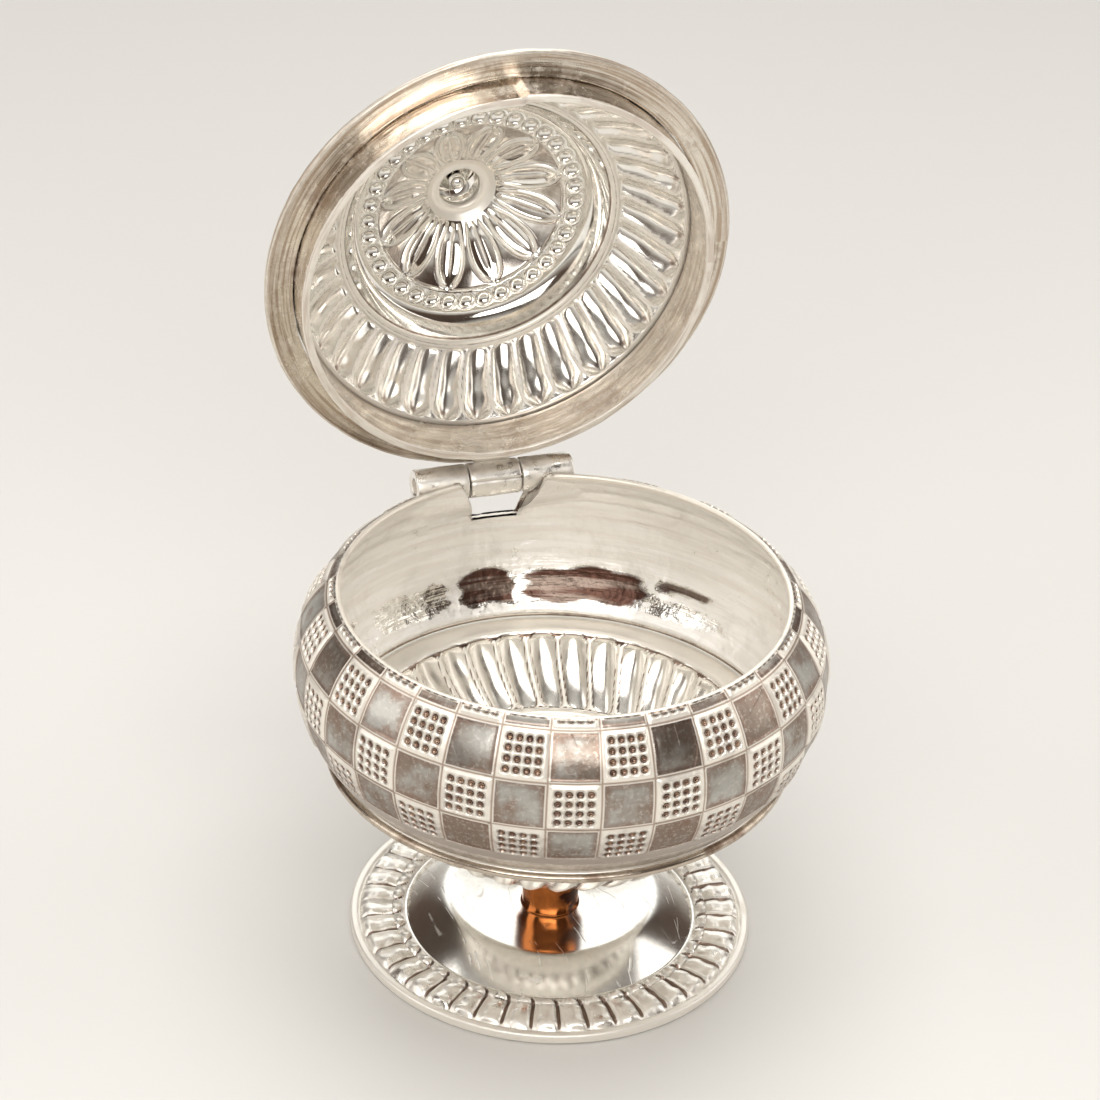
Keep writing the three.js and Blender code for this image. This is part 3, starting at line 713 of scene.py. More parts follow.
def make_foot():
    """A polished disc inside a border of round-ended flutes, each with a dark slot along one side."""
    outline = foot_outline()
    piece = turned("foot", outline, RIBS * COLUMNS_PER_RIB)
    row, turn, radius = laid(piece, outline)
    top = (places(piece)[2] > 0.5) & (radius > RIB_IN_R) & (radius < RIB_OUT_R)
    number, off = centred(turn, RIB_START + RIB_DEG / 2, RIB_DEG)
    across = np.radians(off) * radius + 0.05 * jitter(number, 1.0)
    near = np.clip((14.7 - radius) / 1.0, 0, 1)
    half = (np.radians(RIB_DEG) * radius / 2 - 0.2) * np.sqrt(1 - near ** 2)
    inside = half - np.abs(across)
    lobe = smooth(-0.05, 0.25, inside)
    swell = 0.3 * np.sqrt(np.clip(inside / np.maximum(half, 0.1), 0, 1))
    swell = swell + 0.08 * np.sin(radius * 3.1 + 5 * number)
    slot = ridge(inside, 0.05, 0.17) * np.where(across > 0, 1.0, 0.25)
    edge = ridge(inside, -0.12, 0.1)
    fade = smooth(RIB_IN_R, 13.8, radius) * (1 - smooth(17.2, RIB_OUT_R, radius))
    pressed(piece, np.where(top, (0.12 + lobe * swell + 0.3 * edge - 0.3 * slot) * fade, 0))
    crinkled(piece, 0.22, 1.0, np.where(top, lobe, 0))
    noted(piece, hollow=np.where(top, 1.8 * slot * fade, 0),
          frost=np.where(top, lerp(0.9, 0.55, lobe), np.where(radius > DISC_R + 0.1, 0.85, 0)))
    unrolled(piece, turn, row * 0.2, RIB_DEG)
    finished(piece, "bowl", "foot_plate", "silver_polished", burnished)


def make_stem():
    """A short tube with solder rounded into its ends."""
    low, high = WELL_Z + 0.05, STEM_TOP
    outside = arc((STEM_R + 0.15, low + 0.15), 0.15, 270, 180, 3)
    outside += path((STEM_R, low + 0.4), (STEM_R, high - 0.4), step=0.4)
    outside += arc((STEM_R + 0.2, high - 0.2), 0.2, 180, 90, 3)
    piece = turned("stem", path((STEM_BORE, high), (STEM_BORE, low), step=2) + outside, 96)
    crinkled(piece, 0.12, 1.6)
    finished(piece, "bowl", "stem_tube", "silver_toned", amber)


# Bowl

def make_dish():
    """The pressed dish: a plain ledge, the gadroons inside and outside, and a plain floor."""
    inside = path((20.1, 20.5), (DISH_BAND_R + 0.35, 20.5), step=0.25) + [(DISH_BAND_R + 0.12, 20.42)]
    inner_band = band((DISH_BAND_R, DISH_TOP - 0.3), (DISH_IN_R, DISH_LOW - 0.3), GADROON_BOW, 44)
    floor = path((DISH_IN_R - 0.15, DISH_LOW - 0.1), (DISH_IN_R - 0.7, DISH_LOW - 0.1), (12.4, 13.75),
                 (6.8, 12.9), (0, 12.75), step=0.45)
    under = path((0, 12.0), (STEM_R + STEM_SEAT, 12.0), (12.9, 13.1), (13.3, 13.3), step=0.6)
    outer_band = band((DISH_IN_R + 0.1, DISH_LOW - 1.0), (DISH_BAND_R + 0.15, DISH_TOP - 1.2),
                      -GADROON_BOW, 34)
    flange = [(18.5, 19.4), (18.9, 19.72), (19.6, 19.8), (20.45, 19.8), (20.6, 19.95), (20.6, 20.35),
              (20.45, 20.5)]
    outline = inside + inner_band + floor + under + outer_band + flange
    piece = turned("dish", outline, GADROONS * COLUMNS_PER_GADROON)
    row, turn, radius = laid(piece, outline)
    ways = along_outline(outline)
    first, last = len(inside), len(inside) + len(inner_band) - 1
    top = (row >= first) & (row <= last)
    relief, line = gadroon_relief(turn, radius, ways[row] - ways[first], ways[last] - ways[first], DISH_START,
                                  0.1, even=True)
    heights = np.where(top, relief - GADROON_DEPTH * 0.45, 0)
    low = last + 1 + len(floor) + len(under)
    high = low + len(outer_band) - 1
    below = (row >= low) & (row <= high)
    back = GADROON_DEPTH - gadroon_relief(turn, radius, ways[high] - ways[row], ways[high] - ways[low],
                                          DISH_START, 0.0)[0]
    pressed(piece, heights + np.where(below, back, 0))
    beside = np.where(top & (line < 0.4), smooth(0.45, 0.6, relief), 0)
    noted(piece, hollow=np.where(top, beside, np.where(below, 0.9 - back * 1.6, 0)),
          frost=np.where(top, np.maximum(line, 0.46), 0.6))
    unrolled(piece, turn, ways[row], GADROON_DEG)
    finished(piece, "bowl", "bowl_base", "silver_polished", pressed_silver)


def make_seam_ring():
    piece = turned("seam_wire", arc((20.85, 20.1), SEAM_WIRE_R, 0, 337.5, 15), 256)
    crinkled(piece, 0.06, 1.4)
    finished(piece, "bowl", "seam_ring", "silver_toned", sooty)


def bend_radius(inwards, upwards):
    """Radius of the arc that leaves the widest ring upright and reaches a ring further in, above or below."""
    return (inwards ** 2 + upwards ** 2) / (2 * inwards)


TOP_BEND = bend_radius(BOWL_R - RIM_R, RIM_Z - BOWL_WIDEST_Z)
LOW_BEND = bend_radius(BOWL_R - SEAM_R, BOWL_WIDEST_Z - SEAM_Z)
TOP_LENGTH = TOP_BEND * math.asin((RIM_Z - BOWL_WIDEST_Z) / TOP_BEND)
WALL_LENGTH = TOP_LENGTH + LOW_BEND * math.asin((BOWL_WIDEST_Z - SEAM_Z) / LOW_BEND)


def barrel(way, inset=0.0):
    """Radius and height on the wall, a way down from the rim and an inset from the outside, in mm."""
    bend = TOP_BEND if way < TOP_LENGTH else LOW_BEND
    angle = (TOP_LENGTH - way) / bend
    out = bend - inset
    return float(BOWL_R - bend + out * np.cos(angle)), float(BOWL_WIDEST_Z + out * np.sin(angle))


def wall_relief(turn, way):
    """Checkered relief in mm: raised dotted cells with pits, and flat cells with raised lines round them."""
    row = np.interp(way, ROW_EDGES, [0.0, 1.0, 2.0, 3.0, 4.0])
    cell = ((turn - CELL_START) % 360) / CELL_DEG
    dotted = (np.floor(cell) + np.floor(row + 1)) % 2 < 0.5
    share_x, share_y = cell % 1, row % 1
    wide = np.radians(CELL_DEG) * CELL_AT_R
    edge_x = np.minimum(share_x, 1 - share_x) * wide
    edge_y = np.minimum(share_y, 1 - share_y) * CELL_TALL
    edge = np.minimum(edge_x, edge_y)
    pillow = 0.2 * smooth(0.0, 0.4, edge)
    apart = np.zeros(len(turn))
    for share in (share_x, share_y):
        inner = (share - DOT_BORDER) * DOTS / (1 - 2 * DOT_BORDER)
        apart = apart + (inner % 1 - 0.5) ** 2
    among = (edge_x > DOT_BORDER * wide) * (edge_y > DOT_BORDER * CELL_TALL)
    pit = 0.26 * (1 - smooth(0.16, 0.42, np.sqrt(apart))) * among
    frame_line = 0.1 * ridge(edge_y, 0.14, 0.13) + 0.06 * ridge(edge_x, 0.14, 0.12)
    groove = 0.05 * ridge(edge, 0, 0.1)
    relief = np.where(dotted, pillow - pit, frame_line) - groove + 0.1
    return relief * (1 - smooth(14.2, 14.5, way)) * smooth(0.0, 0.25, way)


def make_wall():
    """The barrel-shaped wall: checkered outside, lined inside, notched and pressed in at the hinge."""
    rim = (RIM_R - SHEET / 2, RIM_Z - SHEET / 2)
    rim_out, rim_in = arc(rim, SHEET / 2, 90, 45, 3)[:-1], arc(rim, SHEET / 2, 150, 110, 3)
    ways_out = [*np.arange(0.25, LIP_END, 0.18), *np.arange(LIP_END + 0.3, WALL_LENGTH, 0.4), WALL_LENGTH]
    outside = [barrel(way, RELIEF_INSET if way < ROW_EDGES[-1] else LIP_INSET) for way in ways_out]
    ways_in = [*np.arange(WALL_LENGTH, 0.4, -0.42), 0.3]
    inside = [barrel(way, SHEET) for way in ways_in]
    outline = rim_out + outside + inside + rim_in
    piece = turned("bowl_wall_silver", outline, CELLS * COLUMNS_PER_CELL)
    row, turn, _ = laid(piece, outline)
    first = len(rim_out)
    last = first + len(ways_out)
    way_at = np.concatenate([np.zeros(len(rim_out)), ways_out, ways_in, np.zeros(len(rim_in))])
    way = way_at[row]
    outer = (row >= first) & (row < last)
    inner = (row >= last) & (row < last + len(ways_in))
    relief = wall_relief(turn, way)
    ghost = 0.15 * (0.25 - relief) * smooth(1.0, 2.0, way)
    pressed(piece, np.where(outer, relief, 0) + np.where(inner, ghost + ripples(turn, way), 0))
    crinkled(piece, 0.2, 3.2, inner * smooth(0.3, 2.0, way))
    crinkled(piece, 0.1, 5.0, outer * 1.0)
    notched(piece)
    bedded(piece)
    row_at = np.interp(way_at, ROW_EDGES + [LIP_END], [1.0, 2.0, 3.0, 4.0, 5.0, 5.2])
    unrolled(piece, turn, np.where(outer, row_at[row], np.where(inner, -way, 0.0)), CELL_DEG, CELL_START)
    finished(piece, "bowl", "bowl_wall", "silver_frosted", checkered, lining)
    lined(piece, turn, way, inner)


def ripples(turn, way):
    """Uneven rings inside the bowl, from hammering and smoothing, in mm."""
    sway = 1.1 * np.sin(np.radians(turn * 3 + 40)) + 0.6 * np.sin(np.radians(turn * 7))
    rings = 0.1 * np.sin(way * 3.1 + sway) + 0.06 * np.sin(way * 6.3 - 2 * sway + 1)
    rings = rings + 0.04 * np.sin(way * 9.7 + 3 * sway)
    return rings * smooth(0.8, 2.0, way) * (1 - smooth(9.5, 11.5, way))


# Marks on the wall's lining: turn in degrees, way down from the rim in mm, and half sizes in the same units.
# The stains end with how brown they are.
STAINS = [(91, 14.9, 7.5, 1.9, 1.0), (66, 14.9, 16.5, 1.9, 1.0), (41, 13.4, 8.0, 0.6, 0.8),
          (140, 13.6, 9.0, 0.5, 0.7), (200, 13.0, 9.0, 1.4, 0.6), (320, 12.6, 12.0, 1.2, 0.6)]
BRIGHT_PATCHES = [(113, 14.8, 12.0, 1.6), (38, 15.6, 12.0, 1.0), (250, 14.0, 30.0, 1.5)]


def patch(turn, way, middle, down, half_turn, half_way):
    """1 inside a ragged patch of the lining and 0 outside it."""
    across = ((turn - middle + 180) % 360 - 180) / half_turn + 0.09 * np.sin(way * 3.7 + middle)
    along = (way - down) / half_way + 0.13 * np.sin(np.radians(turn * 11) + down)
    along = along + 0.08 * np.sin(np.radians(turn * 29))
    return 1 - smooth(0.75, 1.15, (np.abs(across) ** 4 + np.abs(along) ** 4) ** 0.25)


def lined(piece, turn, way, inner):
    """Gives the faces inside the bowl their frosted lining, with its stained and its bright patches."""
    stain, bright = np.zeros(len(turn)), np.zeros(len(turn))
    for *where, tone in STAINS:
        stain = np.maximum(stain, tone * patch(turn, way, *where))
    for where in BRIGHT_PATCHES:
        bright = np.maximum(bright, patch(turn, way, *where))
    # Outside the lining, a painted shade on the checkered face: browner towards the bottom of the wall, and in
    # a band where the last cells meet the plain lip.
    lower = 0.85 * smooth(5.0, 13.0, way) + 0.3 * smooth(14.3, 14.6, way) * (1 - smooth(15.4, 15.6, way))
    noted(piece, hollow=np.where(inner, 1.2 * stain, lower),
          frost=np.where(inner, 0.8 - 0.55 * bright - stain, 0.8))
    corners, begins = face_corners(piece)
    share = np.minimum.reduceat(inner[corners].astype(int), begins)
    piece.data.polygons.foreach_set("material_index", share)


def notched(piece):
    """Notches the rim under the middle knuckle: what stands above the cut is drawn down to it."""
    x, y, z = places(piece)
    radius = np.hypot(x, y)
    share = np.clip((np.abs(x - NOTCH_X) - NOTCH_HALF) / NOTCH_SHOULDER, 0, 1)
    fall = 1 - np.sin(share * math.pi / 2) ** 0.9
    cut = RIM_Z + NOTCH_ABOVE - (NOTCH_DEPTH + NOTCH_ABOVE) * fall
    near = (y > 0) & (share < 1)
    soft = 0.08
    lowered = -soft * np.logaddexp(-z / soft, -cut / soft)
    new_z = np.where(near & (z > cut - 0.6), lowered, z)
    old_r, new_r = (TOP_BEND * np.sqrt(1 - np.clip((up - BOWL_WIDEST_Z) / TOP_BEND, 0, 0.99) ** 2)
                    for up in (z, new_z))
    out = np.where(near, new_r - old_r, 0)
    pressed(piece, new_z - z, direction="Z")
    pressed(piece, out * y / radius, direction="Y")
    pressed(piece, out * x / radius, direction="X")


def bedded(piece):
    """Presses the wall in where the hinge tube lies against it, softly on the inside."""
    x, y, z = places(piece)
    room = TUBE_R + 0.12
    level = np.clip(1 - ((z - HINGE_Z) / room) ** 2, 0, 1)
    radius = np.hypot(x, y)
    outer_r = BOWL_R - TOP_BEND + np.sqrt(np.maximum(TOP_BEND ** 2 - (z - BOWL_WIDEST_Z) ** 2, 0))
    inner = radius < outer_r - SHEET / 2
    behind = HINGE_Y - room - SHEET + 0.18 * (z - HINGE_Z) ** 2
    limit = np.where(inner, behind, HINGE_Y - room * np.sqrt(level))
    fade = 1 - smooth(HINGE_LENGTH / 2, HINGE_LENGTH / 2 + 1.6, np.abs(x))
    near = (y > 0) & (inner & (z > BOWL_WIDEST_Z) | (level > 0))
    push = np.where(near, np.maximum(y - limit, 0), 0) * fade
    pressed(piece, -push, direction="Y")


# Hinge

def rod(name, radius, length, x, vertices):
    """A plain cylinder along X about the hinge."""
    centre = Vector((x, AXIS_Y + HINGE_Y, HINGE_Z)) * MM
    piece = added(bpy.ops.mesh.primitive_cylinder_add, name, vertices=vertices, radius=radius * MM,
                  depth=length * MM, location=centre, rotation=(0, math.pi / 2, 0))
    bpy.ops.object.transform_apply(location=True, rotation=True, scale=True)
    return piece


def tube(name, length, x):
    """A rolled knuckle, bored through, with rounded ends, a rolling seam and cuts that let it take dents."""
    piece = rod(name, TUBE_R, length, x, 96)
    with edited(piece):
        bpy.ops.mesh.select_mode(type="FACE")
        bpy.ops.mesh.select_all(action="DESELECT")
    for face in piece.data.polygons:
        face.select = len(face.vertices) > 4
    bpy.ops.object.mode_set(mode="EDIT")
    bpy.ops.mesh.inset(thickness=(TUBE_R - PIN_R - PIN_FIT) * MM)
    bpy.ops.mesh.bridge_edge_loops()
    bpy.ops.object.mode_set(mode="OBJECT")
    modified(piece, "BEVEL", width=0.16 * MM, segments=3, limit_method="ANGLE", angle_limit=math.radians(50))
    with edited(piece):
        for i in range(1, TUBE_CUTS):
            bpy.ops.mesh.select_all(action="SELECT")
            at = (x + (i / TUBE_CUTS - 0.5) * (length - 0.5)) * MM
            bpy.ops.mesh.bisect(plane_co=(at, 0, 0), plane_no=(1, 0, 0))
    tidied(piece, sharp=60)
    _, y, z = places(piece)
    around = np.degrees(np.arctan2(z - HINGE_Z, y - HINGE_Y))
    out = np.hypot(z - HINGE_Z, y - HINGE_Y) > TUBE_R - 0.3
    seam = ridge(around, SEAM_TURN, 3.5) * out
    pressed(piece, -0.12 * seam)
    crinkled(piece, 0.1, 1.5, out * 1.0)
    noted(piece, hollow=seam)
    return piece


def make_hinge():
    """Two knuckles on the bowl, one on the lid, and the pin."""
    for name, x in (("hinge_knuckle_left", -SIDE_X), ("hinge_knuckle_right", SIDE_X)):
        piece = tube(name + "_rolled", SIDE_KNUCKLE, x)
        finished(piece, "bowl", name, "silver_polished", tubing)
    middle = tube("hinge_knuckle_middle_rolled", MIDDLE_KNUCKLE, 0)
    opened(middle)
    finished(middle, "lid", "hinge_knuckle_middle", "silver_polished", tubing)
    pin = rod("hinge_wire", PIN_R, HINGE_LENGTH - 0.1, 0, 48)
    modified(pin, "BEVEL", width=0.2 * MM, segments=3, limit_method="ANGLE")
    tidied(pin, sharp=50)
    finished(pin, "bowl", "hinge_pin", "silver_toned", sooty)


def make_leaf():
    """The plate between the middle knuckle and the bezel strip, rounded by solder."""
    back, front = HINGE_Y - TUBE_R + 0.25, BEZEL_R + 0.02
    centre = Vector((0, AXIS_Y + (back + front) / 2, (LEAF_LOW + LEAF_HIGH) / 2)) * MM
    piece = added(bpy.ops.mesh.primitive_cube_add, "lid_leaf", size=1, location=centre)
    piece.scale = Vector((LEAF_WIDTH, back - front, LEAF_HIGH - LEAF_LOW)) * MM
    bpy.ops.object.transform_apply(location=True, rotation=True, scale=True)
    with edited(piece):
        bpy.ops.mesh.bevel(offset=0.18 * MM, segments=3, affect="EDGES")
        bpy.ops.mesh.select_all(action="SELECT")
        bpy.ops.mesh.subdivide(number_cuts=5)
    tidied(piece, sharp=60)
    crinkled(piece, 0.25, 0.7)
    opened(piece)
    finished(piece, "lid", "lid_hinge_leaf", "silver_polished", frosted)


# Lid

def make_bezel():
    """The strip that drops inside the mouth, rolled up with its ends overlapping."""
    low, high = BEZEL_BOTTOM, SHOULDER_Z
    edge = arc((BEZEL_R - 0.15, low + 0.15), 0.15, 0, -90, 3)
    edge += arc((BEZEL_R - SHEET + 0.15, low + 0.15), 0.15, 270, 180, 3)
    outline = path((BEZEL_R, high), (BEZEL_R, low + 0.4), step=0.5) + edge
    outline += path((BEZEL_R - SHEET, low + 0.4), (BEZEL_R - SHEET, high), step=0.25)
    piece = turned("lid_bezel_strip", outline)
    row, turn, radius = laid(piece, outline)
    up = places(piece)[2]
    crinkled(piece, 0.14, 3.2, 1 - smooth(high - 1.2, high - 0.4, up))
    past = (turn - OVERLAP_START) % 360
    overlap = 0.3 * smooth(0, OVERLAP_DEG, past) * (past < OVERLAP_DEG + 0.5)
    inner = radius < BEZEL_R - SHEET / 2
    pressed(piece, np.where(inner, overlap, -overlap) * (1 - smooth(high - 1.5, high - 0.5, up)))
    noted(piece, hollow=np.where(inner, 0.6 * smooth(low + 1.5, high, up), 0),
          frost=np.where(up < low + 0.4, 0.9, 0.3))
    unrolled(piece, turn, row * 0.25, 10)
    opened(piece)
    finished(piece, "lid", "lid_bezel", "silver_frosted", bezel_silver)


def make_brim():
    """The moulded ring that rests on the rim, lifted clear of the hinge tube."""
    inner = BEZEL_R + 0.1
    low, high = BRIM_Z, BRIM_Z + BRIM_HEIGHT
    outline = path((inner, low), (BRIM_R - 0.35, low), step=0.2)
    outline += arc((BRIM_R - 0.35, low + 0.35), 0.35, -75, 60, 7)
    outline += path((BRIM_R - 0.5, low + 0.85), (20.9, low + 1.25), step=0.2)
    outline += arc((20.35, low + 1.2), 0.35, 40, 150, 5)
    outline += path((19.95, high - 0.12), (19.75, high), (inner, high), step=0.25)
    piece = turned("lid_brim_ring", outline)
    row, turn, radius = laid(piece, outline)
    crinkled(piece, 0.12, 2.6)
    x, y, z = places(piece)
    room = TUBE_R + 0.25
    near = (y > 0) & (np.abs(x) < HINGE_LENGTH / 2 + 1.5)
    apart = np.hypot(y - HINGE_Y, z - HINGE_Z)
    fade = 1 - smooth(HINGE_LENGTH / 2 + 0.2, HINGE_LENGTH / 2 + 1.4, np.abs(x))
    lift = np.sqrt(np.maximum(room ** 2 - (y - HINGE_Y) ** 2, 0)) + HINGE_Z - z
    pressed(piece, np.where(near & (apart < room), np.maximum(lift, 0), 0) * fade, direction="Z")
    noted(piece, hollow=np.where(z < low + 0.3, 0.75, 0.2) * smooth(inner - 1, BRIM_R, radius),
          frost=np.where(radius > BRIM_R - 0.3, 0.8, 0.35))
    unrolled(piece, turn, row * 0.2, 10)
    opened(piece)
    finished(piece, "lid", "lid_brim", "silver_frosted", lathed)


def dome_inside():
    """Outline of the dome's inside from the shoulder to the boss, and where its gadroons begin and end."""
    shoulder = path((BEZEL_R - SHEET - 0.05, SHOULDER_Z), (SHOULDER_R + 0.1, SHOULDER_Z), step=0.15)
    gadroons = band((SHOULDER_R, SHOULDER_Z), (RIDGE_R, RIDGE_Z), GADROON_BOW, 40)
    crown = [(13.4, 43.62), (13.28, 43.56), (13.16, 43.62), (13.04, 43.72), (12.92, 43.7), (12.8, 43.78)]
    cove = [(lerp(12.7, 10.9, t), lerp(43.95, 45.95, math.sin(t * math.pi / 2) ** 0.9))
            for t in np.linspace(0, 1, 10)]
    beads = path((10.8, 45.98), (BEAD_R, BEAD_Z), (9.0, 46.2), step=0.15)
    petals = [(lerp(8.9, PETAL_BASE_R, t), lerp(46.25, 49.35, t ** 0.92)) for t in np.linspace(0, 1, 32)]
    boss = path((3.6, 49.5), (2.95, 49.98), step=0.16)
    boss += [(2.8, 50.1), (2.6, 50.17), (2.35, 50.14), (2.15, 50.02)]
    points = [(float(r), float(z)) for r, z in shoulder + gadroons + crown + cove + beads + petals + boss]
    return points, len(shoulder), len(shoulder) + len(gadroons) - 1


def dome_relief(turn, radius, along, length, lines):
    """Relief of the dome's skin, the share of raised lines in it, and the petals' own heights."""
    in_band = (along > 0) & (along < length)
    near_beads = np.abs(radius - BEAD_R) < 1.2
    lobes, crest = gadroon_relief(turn, radius, along, length, GADROON_START, lines)
    beads, bead_edge = bead_relief(turn, radius, lines)
    petals, petal_line = petal_relief(turn, radius, lines * 1.4)
    rings = 0.17 * (ridge(radius, OUTER_RING_R, 0.14) + ridge(radius, INNER_RING_R, 0.13))
    relief = np.where(in_band, lobes - GADROON_DEPTH, 0) + beads * near_beads + petals + rings
    return relief, np.maximum(crest * in_band, np.maximum(bead_edge * near_beads, petal_line)), petals


def make_dome():
    """The pressed dome: one closed sheet whose outside follows the inside's relief more softly."""
    inside, begin, end = dome_inside()
    outside = [(r, z + DOME_LIFT) for r, z in reversed(inside)]
    back = [p for i, p in enumerate(outside) if i % 5 in (0, 2) or i == len(outside) - 1]
    hole = [(BOSS_HOLE_R, 50.3), (BOSS_HOLE_R, 50.9)]
    rim = path((BEZEL_R - 0.1, 38.75), (BEZEL_R - 0.05, 39.3), step=0.3)
    outline = inside + hole + back + list(reversed(rim)) + [(BEZEL_R - SHEET, 38.45)]
    piece = turned("lid_dome_sheet", outline, GADROONS * COLUMNS_PER_GADROON)
    row, turn, radius = laid(piece, outline)
    under = row < len(inside)
    ways = along_outline(inside)
    along = np.interp(-radius, -np.array([r for r, _ in inside]), ways) - ways[begin]
    length = ways[end] - ways[begin]
    relief, line, _ = dome_relief(turn, radius, along, length, LINE_HEIGHT)
    over, _, petals = dome_relief(turn, radius, along, length, 0.0)
    outer = (row >= len(inside) + len(hole)) & (radius < SHOULDER_R)
    pressed(piece, np.where(under, relief, np.where(outer, -over * 0.9, 0)))
    off = centred(turn, GADROON_START, GADROON_DEG)[1]
    # The brown in the gadroons' hollows and round ends, the grooves and the petals' cups and corners is
    # patina, and in part a painted shade, laid on deeper than patina alone.
    dimple = ridge(np.hypot(np.radians(off) * radius, along - 1.0), 0, 0.62)
    grooves = np.maximum(ridge(radius, GROOVE_R, 0.09), ridge(radius, COVE_R, 0.12))
    sunk = np.maximum(np.clip(-relief * 1.15, 0, 0.62), np.maximum(0.9 * dimple, grooves))
    sunk = np.maximum(sunk, np.clip(-3.2 * petals, 0, 0.72))
    plain = np.maximum(0.6 * (along < 0.1), 0.43 * ((along > 0) & (along < length)))
    plain = np.maximum(plain, 0.8 * ((np.abs(radius - GROOVE_R) < 0.42) | (radius < BOSS_R)))
    noted(piece, hollow=np.where(under, sunk, np.clip(0.45 + over, 0, 1)),
          frost=np.where(under, np.maximum(line, plain), 0.3 + 0.5 * (over > -0.1)))
    unrolled(piece, turn, along, GADROON_DEG)
    opened(piece)
    finished(piece, "lid", "lid_dome", "silver_polished", pressed_silver)


def make_knob():
    """The knob over the boss and the rivet that holds it, with its round head inside the boss."""
    base = BOSS_Z + DOME_LIFT + 0.1
    outline = [(0, base + 2.4), (0.6, base + 2.4), (0.6, base + 1.0), (2.0, base + 1.0), (2.0, base + 0.02)]
    outline += path((2.9, base), step=1) + arc((2.75, base + 0.25), 0.25, -90, 80, 6)
    outline += [(2.2, base + 0.6), (1.75, base + 0.8), (1.35, base + 1.05), (1.12, base + 1.3)]
    outline += [(1.12, base + 1.45)]
    outline += arc((0, base + 3.2), 1.88, -58, 62, 14)
    outline += [(0.7, base + 5.02), (0.5, base + 5.2), (0.3, base + 5.45), (0, base + 5.55)]
    head = base + 1.0 - 0.1 - 0.8
    rivet = arc((0, head), 0.8, -90, 45, 10) + [(0.5, head + 0.8), (0.5, base + 2.25), (0, base + 2.25)]
    for name, points, columns, node in (("lid_finial", outline, 96, "lid_knob"),
                                        ("finial_rivet", rivet, 48, "knob_rivet")):
        piece = turned(name, points, columns)
        opened(piece)
        finished(piece, "lid", node, "silver_polished", polished)


make_foot()
make_stem()
make_dish()
make_seam_ring()
make_wall()
make_hinge()
make_leaf()
make_bezel()
make_brim()
make_dome()
make_knob()


# Table, lights and camera

CAMERA_TURN = math.radians(-18.65)
CAMERA_RISE = math.radians(31.54)
CAMERA_ROLL = math.radians(2.61)
CAMERA_AWAY = 321.03
CAMERA_AIM = (-1.48, 0.0, 40.35)
FRAME_PX, FOCAL_PX = 1100, 3651.6
SENSOR = 36.0
WINDOW_RISE = math.radians(30)

# Softboxes: how far right, back and up from the camera's side, width and height in mm, and power in watts
SOFTBOXES = {"overhead": (0, 60, 520, 420, 420, 1.8), "front": (0, -420, 330, 500, 240, 1.5),
             "left_window": (-420, -120, 260, 300, 400, 0.7), "right_window": (430, 60, 230, 300, 400, 0.6)}


def turned_to_camera(x, y, z):
    """A point given as right, back and up of the camera's side, in the model frame and in metres."""
    c, s = math.cos(CAMERA_TURN), math.sin(CAMERA_TURN)
    return Vector((x * c - y * s, x * s + y * c + AXIS_Y, z)) * MM


def placed(name, data):
    """A camera or a lamp, linked to the scene."""
    made = bpy.data.objects.new(name, data)
    bpy.context.scene.collection.objects.link(made)
    return made


def make_camera():
    data = bpy.data.cameras.new("camera")
    data.sensor_width = SENSOR
    data.lens = SENSOR * FOCAL_PX / FRAME_PX
    data.clip_start = 0.01
    camera = placed("camera", data)
    x, y, z = CAMERA_AIM
    away = turned_to_camera(x, y - CAMERA_AWAY * math.cos(CAMERA_RISE),
                            z + CAMERA_AWAY * math.sin(CAMERA_RISE))
    camera.location = away
    look = (turned_to_camera(x, y, z) - away).to_track_quat("-Z", "Y").to_matrix().to_4x4()
    camera.rotation_euler = (look @ Matrix.Rotation(CAMERA_ROLL, 4, "Z")).to_euler()
    bpy.context.scene.camera = camera


def softbox(name, right, back, up, wide, tall, watts):
    """An area lamp that faces the middle of the box."""
    data = bpy.data.lights.new(name, "AREA")
    data.shape = "RECTANGLE"
    data.size, data.size_y = wide * MM, tall * MM
    data.energy = watts
    data.color = (1, 0.98, 0.95)
    light = placed(name, data)
    light.location = turned_to_camera(right, back, up)
    light.rotation_euler = (turned_to_camera(0, 0, 35) - light.location).to_track_quat("-Z", "Y").to_euler()


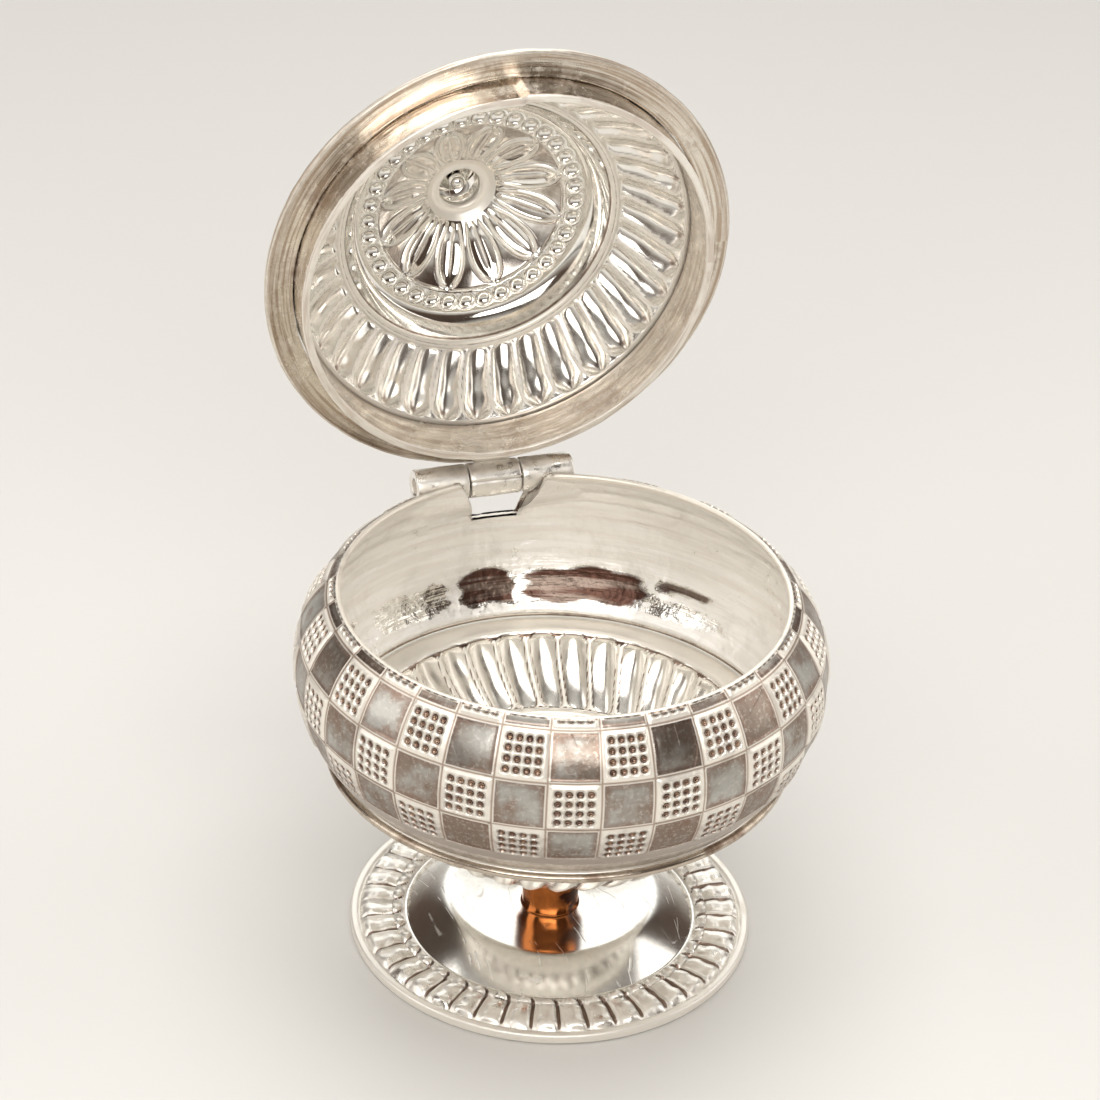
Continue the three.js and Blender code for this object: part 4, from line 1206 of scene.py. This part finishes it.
def make_world():
    """A dim room with a bright window behind the box, a glow at the horizon and a pale ceiling."""
    world = bpy.data.worlds.new("studio")
    bpy.context.scene.world = world
    world.use_nodes = True
    tree = Tree(world.node_tree)
    back = world.node_tree.nodes["Background"]
    way = tree.node("ShaderNodeTexCoord").outputs["Generated"]
    split = tree.node("ShaderNodeSeparateXYZ")
    tree.link(way, split.inputs[0])
    ramp = tree.node("ShaderNodeValToRGB")
    tree.link(tree.math("MULTIPLY_ADD", split.outputs["Z"], 0.5, 0.5), ramp.inputs["Fac"])
    stops = [(0.0, (0.5, 0.48, 0.45)), (0.5, (0.6, 0.58, 0.55)), (0.56, (0.34, 0.3, 0.26)),
             (0.64, (0.09, 0.06, 0.045)), (0.88, (0.06, 0.045, 0.035)), (0.95, (0.5, 0.48, 0.45))]
    for place, colour in stops:
        stop = ramp.color_ramp.elements.new(place)
        stop.color = (*colour, 1)
    ramp.color_ramp.elements.remove(ramp.color_ramp.elements[-1])
    ramp.color_ramp.elements.remove(ramp.color_ramp.elements[0])
    towards = tree.node("ShaderNodeVectorMath", operation="DOT_PRODUCT")
    tree.link(way, towards.inputs[0])
    level = Vector((-math.sin(CAMERA_TURN), math.cos(CAMERA_TURN), 0))
    towards.inputs[1].default_value = level * math.cos(WINDOW_RISE) + Vector((0, 0, math.sin(WINDOW_RISE)))
    window = tree.ramp(towards.outputs["Value"], 0.8, 0.985)
    tree.link(tree.mix(window, ramp.outputs["Color"], (1.5, 1.5, 1.46, 1)), back.inputs["Color"])
    back.inputs["Strength"].default_value = 1.0


def make_table():
    table = added(bpy.ops.mesh.primitive_plane_add, "table", size=6, location=(0, 0, -0.0001))
    cloth = bpy.data.materials.new("pale table")
    cloth.use_nodes = True
    shader = cloth.node_tree.nodes["Principled BSDF"]
    shader.inputs["Base Color"].default_value = (0.66, 0.65, 0.63, 1)
    shader.inputs["Roughness"].default_value = 0.7
    table.data.materials.append(cloth)


make_world()
make_table()
for name, values in SOFTBOXES.items():
    softbox(name, *values)
make_camera()
bpy.context.scene.view_settings.view_transform = "Standard"
